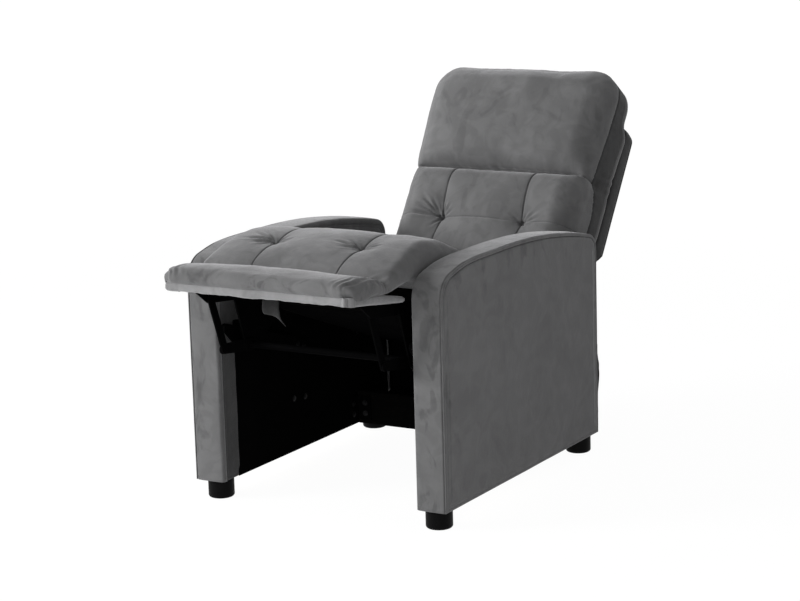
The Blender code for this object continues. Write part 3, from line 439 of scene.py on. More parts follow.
def speckled(name, dark, light, roughness, metallic, grain, depth, stretch=None, specular=0.5):
    # A plain finish with a grain of its own: paint, moulding, fleece, wire or wood
    material, tree, shader, where = freshMaterial(name)
    f = speckleLook
    coarse = noiseNode(tree, where, *f.coarse, stretch)
    fine = noiseNode(tree, where, grain, *f.fine, stretch)
    tone = layered(tree, f.start, (coarse, f.coarseShare), (fine, f.fineShare))
    rough = spread(tree, fine, *f.limits, max(f.smoothest, roughness - f.roughBy), min(1.0, roughness + f.roughBy))
    feed(tree, shader, {"Base Color": mixColours(tree, tone, grey(dark), grey(light)), "Roughness": rough,
                        "Metallic": metallic, "Specular IOR Level": specular, **bumpNode(tree, (fine, depth))})
    return material


velvet = velvetMaterial("grey_velvet")
padVelvet = velvetMaterial("grey_velvet_pad", worn=padWear)
armVelvet = velvetMaterial("grey_velvet_arms", worn=armWear, blotch=0.12)
# the inside of each arm darkens low down: painted shade
shadedFacingVelvet = velvetMaterial("grey_velvet_inside_painted_shade", worn=armWear, fade=dict(z=(0.56, 0.44), level=0.36))
# a darker copy of the grey velvet for the back's side band and shell: painted shade
shadedVelvet = velvetMaterial("grey_velvet_painted_shade", level=0.31)
# a much darker copy of the grey velvet for the loose end under the board: painted shade
deepShadedVelvet = velvetMaterial("grey_velvet_painted_deep_shade", level=0.17)
# a brighter copy of the grey velvet for the footrest board: painted light
litVelvet = velvetMaterial("grey_velvet_painted_light", level=1.75)
woodGrain = (1.0, 9.0, 9.0)
finishForm = (  # name, dark, light, roughness, metallic, grain, depth, stretch, specular
    ("black_fleece", (0.0010, 0.0010, 0.0011), (0.0034, 0.0034, 0.0036), 0.95, 0.0, 700.0, 0.0003, None, 0.004),
    ("black_painted_steel", (0.0008, 0.0008, 0.0009), (0.0028, 0.0028, 0.0030), 0.66, 0.0, 420.0, 0.00008,
     None, 0.006),
    ("dark_thread", (0.004, 0.004, 0.004), (0.014, 0.014, 0.0145), 0.8, 0.0, 900.0, 0.0001, None, 0.1),
    ("bright_wire", (0.20, 0.20, 0.21), (0.46, 0.45, 0.44), 0.35, 1.0, 500.0, 0.00005),
    ("black_moulding", (0.0010, 0.0010, 0.0010), (0.0030, 0.0030, 0.0032), 0.50, 0.0, 900.0, 0.00012, None, 0.05),
    ("pale_timber", (0.30, 0.19, 0.10), (0.56, 0.40, 0.24), 0.65, 0.0, 60.0, 0.0003, woodGrain),
    ("plywood", (0.36, 0.24, 0.13), (0.58, 0.43, 0.27), 0.7, 0.0, 70.0, 0.0003, (1.0, 1.6, 8.0)),
    ("black_timber", (0.0014, 0.0013, 0.0012), (0.0048, 0.0045, 0.0043), 0.80, 0.0, 70.0, 0.0003, woodGrain, 0.01),
    ("dark_zinc", (0.012, 0.012, 0.0125), (0.045, 0.045, 0.047), 0.45, 1.0, 600.0, 0.00004))
(lining, blackSteel, thread, springSteel, moulding, timber, plywood, blackTimber,
 bolt) = (speckled(*row) for row in finishForm)

kinds = (("spring", springSteel), ("arm_bottom_rail", timber), ("arm_inner_plate", plywood),
         ("arm_outer_plate", plywood), ("rail_angle", blackSteel), ("_rail", blackTimber))
for nodeName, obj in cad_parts.items():
    obj.data.materials.clear()
    obj.data.materials.append(next((finish for word, finish in kinds if word in nodeName), blackSteel))
print("recliner: finishes made")


# Panels with a rolled edge: rings of a four-sided outline, filled at each end

def fillIn(chains):
    # The points inside an outline, and how far inside: 0 at its edge, 1 in its middle
    left, top, right, bottom = chains
    s = np.linspace(0, 1, len(top))[None, :, None]
    t = np.linspace(0, 1, len(left))[:, None, None]
    grid = ((1 - t) * bottom[None] + t * top[None] + (1 - s) * left[:, None] + s * right[:, None]
            - ((1 - s) * (1 - t) * bottom[0] + s * (1 - t) * bottom[-1]
               + (1 - s) * t * top[0] + s * t * top[-1]))
    return grid, (16 * s * (1 - s) * t * (1 - t))[..., 0]


def ringOf(chains):
    left, top, right, bottom = chains
    return np.concatenate([left, top[1:], right[::-1][1:], bottom[::-1][1:-1]])


def panelBody(name, chainsAt, profile, place, swell, material):
    # profile: inset, depth, share of the groove; the last fill swells in its middle
    points = [place(*ringOf(chainsAt(inset)).T, depth, share) for inset, depth, share in profile]
    faces = [gridQuads(len(profile), len(points[0]), wrap=True)]
    count = len(profile) * len(points[0])
    for (inset, depth, share), puff in ((profile[0], 0.0), (profile[-1], swell)):
        grid, inside = fillIn(chainsAt(inset))
        points.append(place(*grid.reshape(-1, 2).T, depth + puff * np.sqrt(inside.ravel()), share))
        faces.append(gridQuads(*inside.shape) + count)
        count += inside.size
    return makePiece(name, np.concatenate(points), np.concatenate(faces), material)


# Arms

armForm = Settings(
    front=-0.388, rear=0.388, bottom=0.0463, peakY=-0.060, height=0.598, archRadius=1.92, frontCorner=0.055,
    rearCorner=0.045, inner=0.260, outer=0.340, sideCount=60, cornerCount=20, archCount=96, fullness=0.0085,
    fullAt=-0.275, fullReach=(0.075, 0.115), fill=0.9)


def armChains(inset, bottomInset=None):
    a = armForm
    middle = (a.peakY, a.height - a.archRadius)

    def corner(y, radius):
        # the centre of a corner under the arch, and the angle at which the two meet
        rise = math.sqrt((a.archRadius - radius) ** 2 - (y - a.peakY) ** 2)
        return (y, middle[1] + rise), math.atan2(rise, y - a.peakY)

    def arc(centre, radius, start, stop, count):
        t = np.linspace(start, stop, count)
        return xyz(centre[0] + radius * np.cos(t), centre[1] + radius * np.sin(t))

    frontAt, frontAngle = corner(a.front + a.frontCorner, a.frontCorner)
    rearAt, rearAngle = corner(a.rear - a.rearCorner, a.rearCorner)
    top = np.concatenate([arc(frontAt, a.frontCorner - inset, math.pi, frontAngle, a.cornerCount),
                          arc(middle, a.archRadius - inset, frontAngle, rearAngle, a.archCount)[1:-1],
                          arc(rearAt, a.rearCorner - inset, rearAngle, 0.0, a.cornerCount)])
    # the filling stands up behind the front corner
    behind = top[:, 0] - a.fullAt
    top[:, 1] += dent(behind, a.fullness, np.where(behind < 0, *a.fullReach))
    low = a.bottom + (inset if bottomInset is None else bottomInset)
    left, right = (xyz(y, np.linspace(low, z, a.sideCount)) for y, z in (top[0], top[-1]))
    return left, top, right, xyz(top[:, 0], low)


coverForm = Settings(groove=0.0032, puff=0.0018, ripple=0.0007, rippleSize=0.07)
coverProfile = [  # inset, in from the outer side, share of the groove
    (0.0070, 0.0052, 0), (0.0040, 0.0052, 0), (0.0020, 0.0051, 0), (0.0009, 0.0048, 0), (0.0002, 0.0042, 0),
    (0.0000, 0.0035, 0), (0.0003, 0.0027, 0), (0.0010, 0.0019, 0), (0.0020, 0.0013, 0), (0.0034, 0.0009, 0),
    (0.0048, 0.0008, 0), (0.0062, 0.0009, 0.06), (0.0072, 0.0011, 0.34), (0.0079, 0.0012, 0.84),
    (0.0084, 0.0012, 1.0), (0.0089, 0.0011, 0.82), (0.0097, 0.0010, 0.32), (0.0110, 0.0008, 0.06),
    (0.0140, 0.0004, 0), (0.0190, 0.0001, 0), (0.0250, 0.0, 0)]
facingForm = Settings(
    edge=-0.320, foot=0.420, recess=0.0016, inset=0.0150, raised=0.0050, brought=0.0045, gap=0.0003, groove=0.0016,
    ripple=0.00035, rippleSize=0.06)
facingProfile = [(inset, depth * 0.7, share * 0.6) for inset, depth, share in coverProfile]


def grooveShare(y, z):
    # The sewn line shows most along the arch, and fades down the front and the rear
    high = ease(0.44, 0.54, z)
    return 0.14 + 0.86 * high - 0.35 * ease(0.28, 0.39, y) * high


def buildArmSide(sideName, side):
    a, c, f = armForm, coverForm, facingForm

    def placeOuter(y, z, deep, share):
        ripple = ripples(xyz(0.3, y, z), (c.ripple, c.rippleSize, 3 if side > 0 else 4))
        return toWorld(xyz(side * (a.outer - deep - share * c.groove * grooveShare(y, z) + ripple), y, z))

    def placeInner(y, z, deep, share):
        # set back where the black lining lies over it, and brought down in front of it
        under = ease(f.edge + 0.002, f.edge + 0.010, y) * ease(f.foot - 0.002, f.foot - 0.010, z)
        ripple = np.abs(ripples(xyz(-0.3, y, z), (f.ripple, f.rippleSize, 5)))
        out = a.inner + f.gap + deep + share * f.groove * grooveShare(y, z) + ripple + f.recess * under
        z = z - f.brought * ease(f.edge + 0.002, f.edge - 0.008, y) * ease(0.12, 0.06, z)
        return toWorld(xyz(side * out, y, z))

    def facingChains(inset):
        # starts where the arm's band is turned in, and clear of the lining's lower edge
        return armChains(inset + f.inset, inset + f.raised)

    panels = (("side", "outer_cover", armChains, coverProfile, placeOuter, -c.puff, armVelvet),
              # the facing's velvet darkens low down: painted shade
              ("facing", "inner_facing", facingChains, facingProfile, placeInner, 0.0, shadedFacingVelvet))
    for word, node, *panel in panels:
        piece = panelBody(f"arm_{word}_{sideName}", *panel)
        declare(piece, "velvet", "base", [f"arm_{node}_{sideName}"], fill=a.fill)


bandForm = Settings(
    inner=0.2604, outer=0.3350, corner=0.0075, turnedIn=0.0155, crown=0.0016, thickness=0.0145, tuck=0.0032,
    ripple=0.0006, rippleSize=0.045, edgeCount=9, topCount=27)


def buildArmBand(sideName, side):
    b = bandForm
    left, top, right = armChains(0.0, 0.0)[:3]
    path = np.concatenate([left, top[1:], right[::-1][1:]])
    along = np.gradient(path, axis=0)
    outward = (along / lengths(along))[:, ::-1] * [-1, 1]
    # the section runs from the inner side, round the edge, to the sewn edge at the outer side
    turn = np.linspace(0, math.pi / 2, b.edgeCount)
    edge = xyz(b.inner + b.corner * (1 - np.cos(turn)), b.corner * (np.sin(turn) - 1))
    t = np.linspace(0, 1, b.topCount)[1:]
    t = np.where(t > 0.5, 1 - 2 * (1 - t) ** 2, t)
    rise = b.crown * np.sin(math.pi * t) ** 0.6 - b.tuck * ease(0.955, 1.0, t) ** 1.3
    start = b.inner + b.corner
    section = np.concatenate([[[b.inner, -b.turnedIn]], edge, xyz(start + (b.outer - start) * t, rise),
                              [[b.outer, -b.thickness]]])
    x, out = (np.tile(column, (len(path), 1)) for column in section.T)
    points = np.dstack([x, path[:, None] + outward[:, None] * out[..., None]])
    push = ripples(points.reshape(-1, 3), (b.ripple, b.rippleSize, 8 if side > 0 else 9))
    push = push.reshape(out.shape) * (out > -0.001)
    points[..., 1:] += outward[:, None] * push[..., None]
    points[..., 0] *= side
    points[..., 2] = np.maximum(points[..., 2], armForm.bottom)
    band = makePiece(f"arm_cap_{sideName}", toWorld(points), tubeFaces(*x.shape), armVelvet, weld=False)
    declare(band, "velvet", "base", [f"arm_band_{sideName}"], fill=armForm.fill)


def sheetBody(name, grid, thickness, normal, material):
    # A cloth of one thickness: grid is (rows, columns, 3), in the chair's frame; normal is its outer side
    rows, columns = grid.shape[:2]
    count = rows * columns
    flat = grid.reshape(-1, 3)
    n = np.cross(np.gradient(grid, axis=1), np.gradient(grid, axis=0)).reshape(-1, 3)
    n /= lengths(n)
    n *= np.sign((n @ np.asarray(normal, float)).mean())
    quads = gridQuads(rows, columns)
    rim = np.concatenate([np.arange(columns), np.arange(1, rows) * columns + columns - 1,
                          (rows - 1) * columns + np.arange(columns - 1)[::-1],
                          np.arange(1, rows - 1)[::-1] * columns])
    edge = np.stack([rim, np.roll(rim, -1), np.roll(rim, -1) + count, rim + count], -1)
    faces = np.concatenate([quads, quads[:, ::-1] + count, edge])
    obj = makePiece(name, toWorld(np.concatenate([flat, flat - n * thickness])), faces, material)
    a, b = grid[1:, :-1] - grid[:-1, :-1], grid[:-1, 1:] - grid[:-1, :-1]
    return obj, float(np.linalg.norm(np.cross(a, b), axis=-1).sum())


liningForm = Settings(
    front=-0.3225, rear=0.3860, low=0.0464, high=0.4225, thickness=0.0010, gap=0.0001, ripple=0.0004, rippleSize=0.05)


def buildArmLining(sideName, side):
    f = liningForm
    y, z = np.meshgrid(np.linspace(f.front, f.rear, 90), np.linspace(f.low, f.high, 56))
    ripple = f.ripple + ripples(xyz(0.2, y, z), (f.ripple, f.rippleSize, 11)).reshape(y.shape)
    grid = np.stack([side * (armForm.inner + f.gap + np.abs(ripple)), y, z], -1)
    cloth = sheetBody(f"arm_lining_{sideName}", grid, f.thickness, (-side, 0, 0), lining)[0]
    declare(cloth, "lining", "base", [f"arm_inner_lining_{sideName}"],
            flat=(f.rear - f.front, f.high - f.low), held="stretched", rests_on=[f"arm_facing_{sideName}"])


for sideName, side in sides:
    buildArmSide(sideName, side)
    buildArmBand(sideName, side)
    buildArmLining(sideName, side)
print("recliner: arms made")


# Stitches, staples and bolts, placed by Geometry Nodes

def startTree(name, words):
    # A tree with a path in and copies out, named sizes and a finish; gives the sockets' identifiers too
    tree = bpy.data.node_groups.new(name, "GeometryNodeTree")
    inputs = [("Path", "Geometry"), *((word, "Float") for word in words), ("Finish", "Material")]
    sockets = {word: tree.interface.new_socket(word, in_out="INPUT", socket_type="NodeSocket" + kind).identifier
               for word, kind in inputs}
    tree.interface.new_socket("Result", in_out="OUTPUT", socket_type="NodeSocketGeometry")
    return tree, sockets, addNode(tree, "NodeGroupInput").outputs


def closeTree(tree, given, points, copy, second, **size):
    # Puts a copy on each point, with its z axis off the surface
    facing = addNode(tree, "GeometryNodeInputNamedAttribute", {"Name": "facing"}, data_type="FLOAT_VECTOR")
    turn = addNode(tree, "FunctionNodeAxesToRotation", primary_axis="Z", secondary_axis="X")
    feed(tree, turn, {"Primary Axis": facing.outputs["Attribute"], "Secondary Axis": second})
    copies = addNode(tree, "GeometryNodeInstanceOnPoints", {"Points": points, "Instance": copy, **size,
                                                            "Rotation": turn.outputs["Rotation"]})
    real = addNode(tree, "GeometryNodeRealizeInstances", {"Geometry": copies.outputs["Instances"]})
    paint = addNode(tree, "GeometryNodeSetMaterial", {"Geometry": real.outputs["Geometry"],
                                                      "Material": given["Finish"]})
    addNode(tree, "NodeGroupOutput", {"Result": paint.outputs["Geometry"]})


def rowTree():
    # Small rounded bars along a path
    tree, sockets, given = startTree("barsAlongPath", ("Spacing", "Length", "Width", "Height"))
    curve = addNode(tree, "GeometryNodeMeshToCurve", {"Mesh": given["Path"]}).outputs["Curve"]
    even = addNode(tree, "GeometryNodeResampleCurve", {"Curve": curve, "Length": given["Spacing"]}, mode="LENGTH")
    bar = addNode(tree, "GeometryNodeMeshUVSphere", {"Segments": 8, "Rings": 5, "Radius": 0.5})
    size = addNode(tree, "ShaderNodeCombineXYZ", {"X": given["Length"], "Y": given["Width"], "Z": given["Height"]})
    tangent = addNode(tree, "GeometryNodeInputTangent").outputs["Tangent"]
    closeTree(tree, given, even.outputs["Curve"], bar.outputs["Mesh"], tangent, Scale=size.outputs["Vector"])
    return tree, sockets


def boltTree():
    # A washer with a six-sided head on each point
    tree, sockets, given = startTree("boltOnPoint", ("Washer", "Head", "Rise"))
    both = addNode(tree, "GeometryNodeJoinGeometry")
    for word, corners, share in (("Washer", 20, 0.30), ("Head", 6, 1.0)):
        tall = mathNode(tree, "MULTIPLY", given["Rise"], share)
        drum = addNode(tree, "GeometryNodeMeshCylinder", {"Vertices": corners, "Radius": given[word], "Depth": tall})
        lift = addNode(tree, "ShaderNodeCombineXYZ", {"Z": mathNode(tree, "MULTIPLY", tall, 0.5)})
        move = addNode(tree, "GeometryNodeTransform", {"Geometry": drum.outputs["Mesh"],
                                                       "Translation": lift.outputs["Vector"]})
        feed(tree, both, {"Geometry": move.outputs["Geometry"]})
    closeTree(tree, given, given["Path"], both.outputs["Geometry"], (0.31, 0.83, 0.47))
    return tree, sockets


barsAlongPath, boltOnPoint = rowTree(), boltTree()


def placeCopies(name, body, treeAndSockets, chains, sizes, finish, slot="black_steel", smooth=True):
    # chains: points in the chair's frame, joined as a path, and where they face
    tree, sockets = treeAndSockets
    points, facings, edges = [], [], []
    for chain, facing in chains:
        first = len(points)
        points += toWorld(chain).tolist()
        facings += [facing] * (len(points) - first)
        edges += [(i, i + 1) for i in range(first, len(points) - 1)]
    mesh = bpy.data.meshes.new(name + "_path")
    mesh.from_pydata(points, edges, [])
    facing = mesh.attributes.new("facing", "FLOAT_VECTOR", "POINT")
    facing.data.foreach_set("vector", np.array(facings, np.float32).ravel())
    guide = link(name + "_path", mesh)
    modifier = guide.modifiers.new("copies", "NODES")
    modifier.node_group = tree
    for word, value in {**sizes, "Finish": finish}.items():
        modifier[sockets[word]] = value
    made = bpy.data.meshes.new_from_object(evaluated(guide))
    guide.modifiers.remove(modifier)
    bpy.data.objects.remove(guide)
    bpy.data.meshes.remove(mesh)
    made.name = name
    made.polygons.foreach_set("use_smooth", [smooth] * len(made.polygons))
    declare(link(name, made), slot, body)


topstitchForm = Settings(
    inset=0.0084, out=0.3361, frontFoot=0.40, rearFoot=0.46,
    sizes=dict(Spacing=0.0046, Length=0.0036, Width=0.0011, Height=0.0011))
stapleForm = Settings(
    edge=0.0035, frontEnd=0.012, rearEnd=0.008, sizes=dict(Spacing=0.034, Length=0.0105, Width=0.0013, Height=0.0011))


def placeStaples(name, body, chains, finish=blackSteel):
    placeCopies(name, body, barsAlongPath, chains, stapleForm.sizes, finish)


def buildArmSewing():
    t, f, s = topstitchForm, liningForm, stapleForm
    # the arch of an arm, from low on its front to low on its rear
    left, top, right = armChains(t.inset)[:3]
    right = right[::-1][1:]
    arch = np.concatenate([left[left[:, 1] > t.frontFoot], top[1:], right[right[:, 1] > t.rearFoot]])
    y = np.linspace(f.front + s.frontEnd, f.rear - s.rearEnd, 40)
    z = np.linspace(f.low + s.frontEnd, f.high - s.edge, 24)
    stitches, staples = [], []
    for _, side in sides:
        stitches.append((xyz(side * t.out, *arch.T), (side, 0, 0)))
        inner = side * (armForm.inner - f.gap)
        for row in ((f.front + s.edge, z), (y, f.high - s.edge), (y, f.low + s.edge)):
            staples.append((xyz(inner, *row), (-side, 0, 0)))
    placeCopies("arm_topstitch", "base", barsAlongPath, stitches, t.sizes, thread, "velvet")
    placeStaples("lining_staples", "base", staples)


buildArmSewing()

boltForm = Settings(sizes=dict(Washer=0.0075, Head=0.0052, Rise=0.0034), places=(
    # body, facing on the left side, places
    ("base", (-1, 0, 0), [(0.2557, 0.222, 0.285), (0.2557, 0.258, 0.285), (0.2557, 0.240, 0.328),
                          (0.2557, -0.0305, 0.3010), (0.2557, -0.0560, 0.3115), (0.2557, 0.1930, 0.0750),
                          (0.2557, 0.1930, 0.1020), (0.2600, -0.0750, 0.1780), (0.2600, -0.0250, 0.1720)]),
    ("base", (0, -1, 0), [(0.2360, 0.2157, 0.0750), (0.2360, 0.2157, 0.1020)]),
    ("seat", (-1, 0, 0), [(0.2181, -0.2294, 0.4890), (0.2181, -0.1540, 0.4570)]),
    ("seat", (1, 0, 0), [(0.2507, 0.1057, 0.3574), (0.2507, 0.3144, 0.2815)]),
    ("back", (1, 0, 0), [(0.2462, 0.5572, 0.4401), (0.2462, 0.5270, 0.4000)])))


def placeBolts(name, body, chains):
    placeCopies(name, body, boltOnPoint, chains, boltForm.sizes, bolt, smooth=False)


def buildBolts():
    groups = {"base": [], "seat": [], "back": []}
    for (_, side), (body, facing, places) in product(sides, boltForm.places):
        turn = np.array([side, 1, 1])
        groups[body] += [(place * turn, facing * turn) for place in places]
    for body, chains in groups.items():
        placeBolts(f"{body}_bolts", body, chains)


buildBolts()
print("recliner: stitches, staples and bolts placed")


# Feet

footForm = Settings(
    radius=0.031, height=0.046, round=0.0065, segments=56, bendCount=7, groove=0.0007, sharpAngle=math.radians(40))


def buildFoot(name, node):
    f = footForm
    low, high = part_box(node)
    centre = (low + high) / 2
    r, h, e = f.radius, f.height, f.round
    bend = [(r - e + e * math.sin(t), e - e * math.cos(t)) for t in np.linspace(0, math.pi / 2, f.bendCount)]
    profile = [(0.004, 0.0012), (0.019, 0.0012), (0.0205, 0.0), *bend, (r, h * 0.5), (r, h - 0.0042),
               (r - f.groove, h - 0.0036), (r - f.groove, h - 0.0026), (r, h - 0.0020), (r, h - 0.0008),
               (r - 0.0008, h), (0.004, h)]
    turn = np.linspace(0, 2 * math.pi, f.segments, endpoint=False)
    points = np.concatenate([xyz(centre.x + p * np.cos(turn), centre.y + p * np.sin(turn), z) for p, z in profile])
    foot = makePiece(name, points, tubeFaces(len(profile), f.segments), moulding, weld=False)
    foot.data.set_sharp_from_angle(angle=f.sharpAngle)
    declare(foot, "foot_plastic", "base", [node])


for end, (sideName, _) in product(("front", "rear"), sides):
    buildFoot(f"turned_foot_{end}_{sideName}", f"foot_{end}_{sideName}")
print("recliner: feet made")


# Seat and footrest pad, one cover over the fold

# Stations from the back of the seat to the lip: top y, z, underside y, z, half width, edge radius
padStations = np.array([
    [0.322, 0.420, 0.296, 0.326, 0.2490, 0.030], [0.240, 0.463, 0.205, 0.354, 0.2520, 0.036],
    [0.120, 0.507, 0.085, 0.398, 0.2525, 0.038], [0.000, 0.551, -0.035, 0.441, 0.2525, 0.038],
    [-0.120, 0.597, -0.155, 0.485, 0.2525, 0.038], [-0.200, 0.627, -0.230, 0.512, 0.2525, 0.038],
    [-0.250, 0.638, -0.275, 0.532, 0.2528, 0.036], [-0.300, 0.638, -0.312, 0.549, 0.2530, 0.034],
    [-0.350, 0.631, -0.352, 0.557, 0.2530, 0.028], [-0.400, 0.617, -0.400, 0.554, 0.2530, 0.024],
    [-0.440, 0.597, -0.440, 0.550, 0.2515, 0.018], [-0.462, 0.580, -0.460, 0.549, 0.2485, 0.013],
    [-0.500, 0.591, -0.500, 0.553, 0.2490, 0.0165], [-0.540, 0.598, -0.540, 0.558, 0.2495, 0.0180],
    [-0.575, 0.601, -0.575, 0.563, 0.2475, 0.0180], [-0.600, 0.601, -0.600, 0.565, 0.2425, 0.0175],
    [-0.6150, 0.600, -0.6135, 0.566, 0.2335, 0.0165]])
# Pairs are a depth and a width, or limits; waves are a depth, a size and a seed
padForm = Settings(
    spacing=0.0072, fine=0.0020, reach=0.007, high=8, half=0.2525, seamX=0.114, tuftY=-0.343, creaseY=-0.462,
    valley=(0.0062, 0.012), pit=(0.0095, 0.014), dip=(0.0060, 0.045), cross=(0.0008, 0.02), sideDrop=0.010,
    seam=(0.0022, 0.0015), crease=(0.0042, 0.0032), tuft=(0.0050, 0.0050), seamPucker=(0.0008, 0.010, 61),
    creasePucker=(0.0011, 0.011, 62), looseness=((0.0013, 0.055, 65), (0.0005, 0.019, 66)),
    gather=0.0019, gathersPerMetre=62, gatherEnds=(0.185, 0.240), lipStart=(0.010, 0.035),
    slant=0.0027, slantsPerMetre=46, slantEnds=(0.17, 0.235), tuck=(0.0050, 0.014), tuckEnds=(0.205, 0.240),
    endDrop=0.0070, dropEnds=(0.205, 0.250), dropFrom=(0.05, 0.13), overhang=0.0085, overhangTo=0.2500,
    overhangShare=0.85, hangFrom=(0.025, 0.120), hangTo=(0.164, 0.126), hangSides=(0.232, 0.240),
    hangEdge=(0.2440, 0.2475), fill=0.8, bendStart=(-0.250, 0.60), bendEnd=(-0.462, 0.56))
padTufts = {-1: [(205, 0.070, 0.0048, 0.0044, 0.1), (184, 0.100, 0.0056, 0.0042, 0.0),
                 (164, 0.090, 0.0050, 0.0038, -0.1), (142, 0.065, 0.0036, 0.0036, 0.0),
                 (228, 0.050, 0.0030, 0.0036, 0.1), (15, 0.055, 0.0026, 0.0036, 0.0),
                 (-20, 0.045, 0.0024, 0.0034, 0.0), (60, 0.045, 0.0022, 0.0034, 0.0)],
            1: [(178, 0.085, 0.0042, 0.0040, 0.0), (160, 0.060, 0.0032, 0.0034, -0.1),
                (200, 0.065, 0.0036, 0.0036, 0.1), (10, 0.055, 0.0030, 0.0036, 0.0),
                (-25, 0.050, 0.0028, 0.0034, 0.0), (35, 0.050, 0.0026, 0.0034, 0.0)]}


def padSeams(x, y):
    # How deep the cover is drawn down by its sewing
    f = padForm
    toSeam = np.abs(np.abs(x) - f.seamX)
    toTuft = np.hypot(toSeam, y - f.tuftY)
    behind = ease(f.creaseY + 0.012, f.creaseY + 0.06, y) * ease(0.31, 0.25, y)
    deeper = 0.22 + 0.78 * ease(-0.20, -0.02, y)
    return (nip(toSeam, *f.valley) * deeper * behind + nip(toTuft, *f.pit) + dent(toTuft, *f.dip)
            + nip(y - f.tuftY, *f.cross))


def buildPad():
    f, station = padForm, padStations
    length = np.concatenate([[0], np.cumsum(np.hypot(*np.diff(station[:, :2], axis=0).T))])
    total = length[-1]
    tuftAt, creaseAt = (np.interp(-y, -station[:, 0], length) for y in (f.tuftY, f.creaseY))
    unit, quads = lattice(clustered(-f.half, f.half, (-f.seamX, f.seamX), f) / f.half,
                          clustered(0, total, (tuftAt, creaseAt), f), np.linspace(-1, 1, f.high + 1))
    rows = through(length, station, unit[:, 1])
    halfWide = rows[:, 4]
    halfHigh = np.hypot(rows[:, 0] - rows[:, 2], rows[:, 1] - rows[:, 3]) / 2
    radius = np.minimum(rows[:, 5], 0.96 * halfHigh)[:, None]
    block = xyz(unit[:, 0] * halfWide, unit[:, 1] - total / 2, unit[:, 2] * halfHigh)
    x, along, rise = roundOff(block, xyz(halfWide, total / 2, halfHigh), radius).T
    rows = through(length, station, np.clip(along + total / 2, 0, total))
    middle = (rows[:, :2] + rows[:, 2:4]) / 2
    up = rows[:, :2] - rows[:, 2:4]
    up /= lengths(up)
    topShare = ease(-0.1, 0.85, rise / halfHigh)
    planX = unit[:, 0] * f.half
    sideDrop = f.sideDrop * np.abs(x / halfWide) ** 3 * ease(0.03, 0.07, 2 * halfHigh)
    rise = rise - topShare * (padSeams(planX, middle[:, 0] + up[:, 0] * rise) + sideDrop)
    points = xyz(x, *(middle + up * rise[:, None]).T)
    pad = makePiece("chaise_pad", toWorld(points), quads, padVelvet, weld=False)
    ahead = unit[:, 1] - tuftAt
    keepValues(pad.data, planX=planX, ahead=ahead, topShare=topShare)
    toSeam = np.abs(np.abs(planX) - f.seamX)
    inflate(pad, 1.0 - ease(0.05, 0.35, topShare), bump(np.hypot(toSeam, ahead), 0.012),
            bump(unit[:, 1] - creaseAt, 0.006), dent(toSeam, 0.8, 0.004) * (unit[:, 1] < creaseAt))
    subdivide(pad)
    return pad, creaseAt - tuftAt


def sculptPad(pad, creaseAhead):
    f = padForm
    planX, ahead, topShare = takeValues(pad.data, "planX", "ahead", "topShare")
    points, normals = readPoints(pad.data), readAll(pad.data.vertex_normals, "vector", 3).astype(float)
    flat = xyz(planX, ahead, 0)
    wide, past = np.abs(planX), ahead - creaseAhead
    toSeam = np.abs(wide - f.seamX)
    behind = ease(-0.004, -0.016, past) * ease(-0.62, -0.58, ahead)
    push = -dent(toSeam, *f.seam) * behind - dent(past, *f.crease)
    # small puckers along the sewn lines
    pucker = ripples(flat * [0.35, 1, 1], f.seamPucker)
    push += pucker * nip(toSeam, 1, 0.010) * ease(0.001, 0.004, toSeam) * behind
    push += ripples(flat * [1, 0.3, 1], f.creasePucker) * nip(past, 1, 0.013)
    for side, fan in padTufts.items():
        dx = planX - side * f.seamX
        push -= creaseFan(dx, -ahead, fan) + dent(np.hypot(dx, ahead), *f.tuft)
    # gathers at both ends of the lip, and the slack of its cover
    gather = np.sin(2 * math.pi * (wide * f.gathersPerMetre + 0.8 * softNoise(flat, 0.03, 63)))
    push += f.gather * gather * ease(*f.gatherEnds, wide) * ease(*f.lipStart, past)
    slant = np.sin(2 * math.pi * ((wide * 0.75 + ahead) * f.slantsPerMetre + softNoise(flat, 0.04, 64)))
    push += f.slant * slant * ease(*f.slantEnds, wide) * bump(past - 0.012, 0.026)
    push -= ease(*f.tuckEnds, wide) * dent(past - 0.004, *f.tuck)
    push += ripples(flat, *f.looseness)
    points = points + normals * (push * (0.15 + 0.85 * topShare))[:, None]
    # the ends of the lip slope down, and hang over the sides of the board
    x = np.abs(points[:, 0])
    points[:, 2] -= f.endDrop * ease(*f.dropEnds, x) ** 2 * topShare * ease(*f.dropFrom, past)
    overhang = ease(*f.hangFrom, past) * ease(*f.hangTo, past) * (1 - topShare) * ease(*f.hangSides, x)
    x += f.overhangShare * overhang * np.maximum(f.overhangTo - x, 0)
    points[:, 0] = np.sign(points[:, 0]) * x
    points[:, 2] -= f.overhang * ease(*f.hangEdge, x) * overhang
    writePoints(pad.data, points)


def bendBetween(piece):
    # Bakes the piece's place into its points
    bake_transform(piece)


pad, creaseAhead = buildPad()
sculptPad(pad, creaseAhead)
declare(pad, "velvet", stands=("seat_cushion", "footrest_pad"), fill=padForm.fill)
bendBetween(pad)
print("recliner: seat and footrest pad made")


# Back and head pad, one cover with a side band

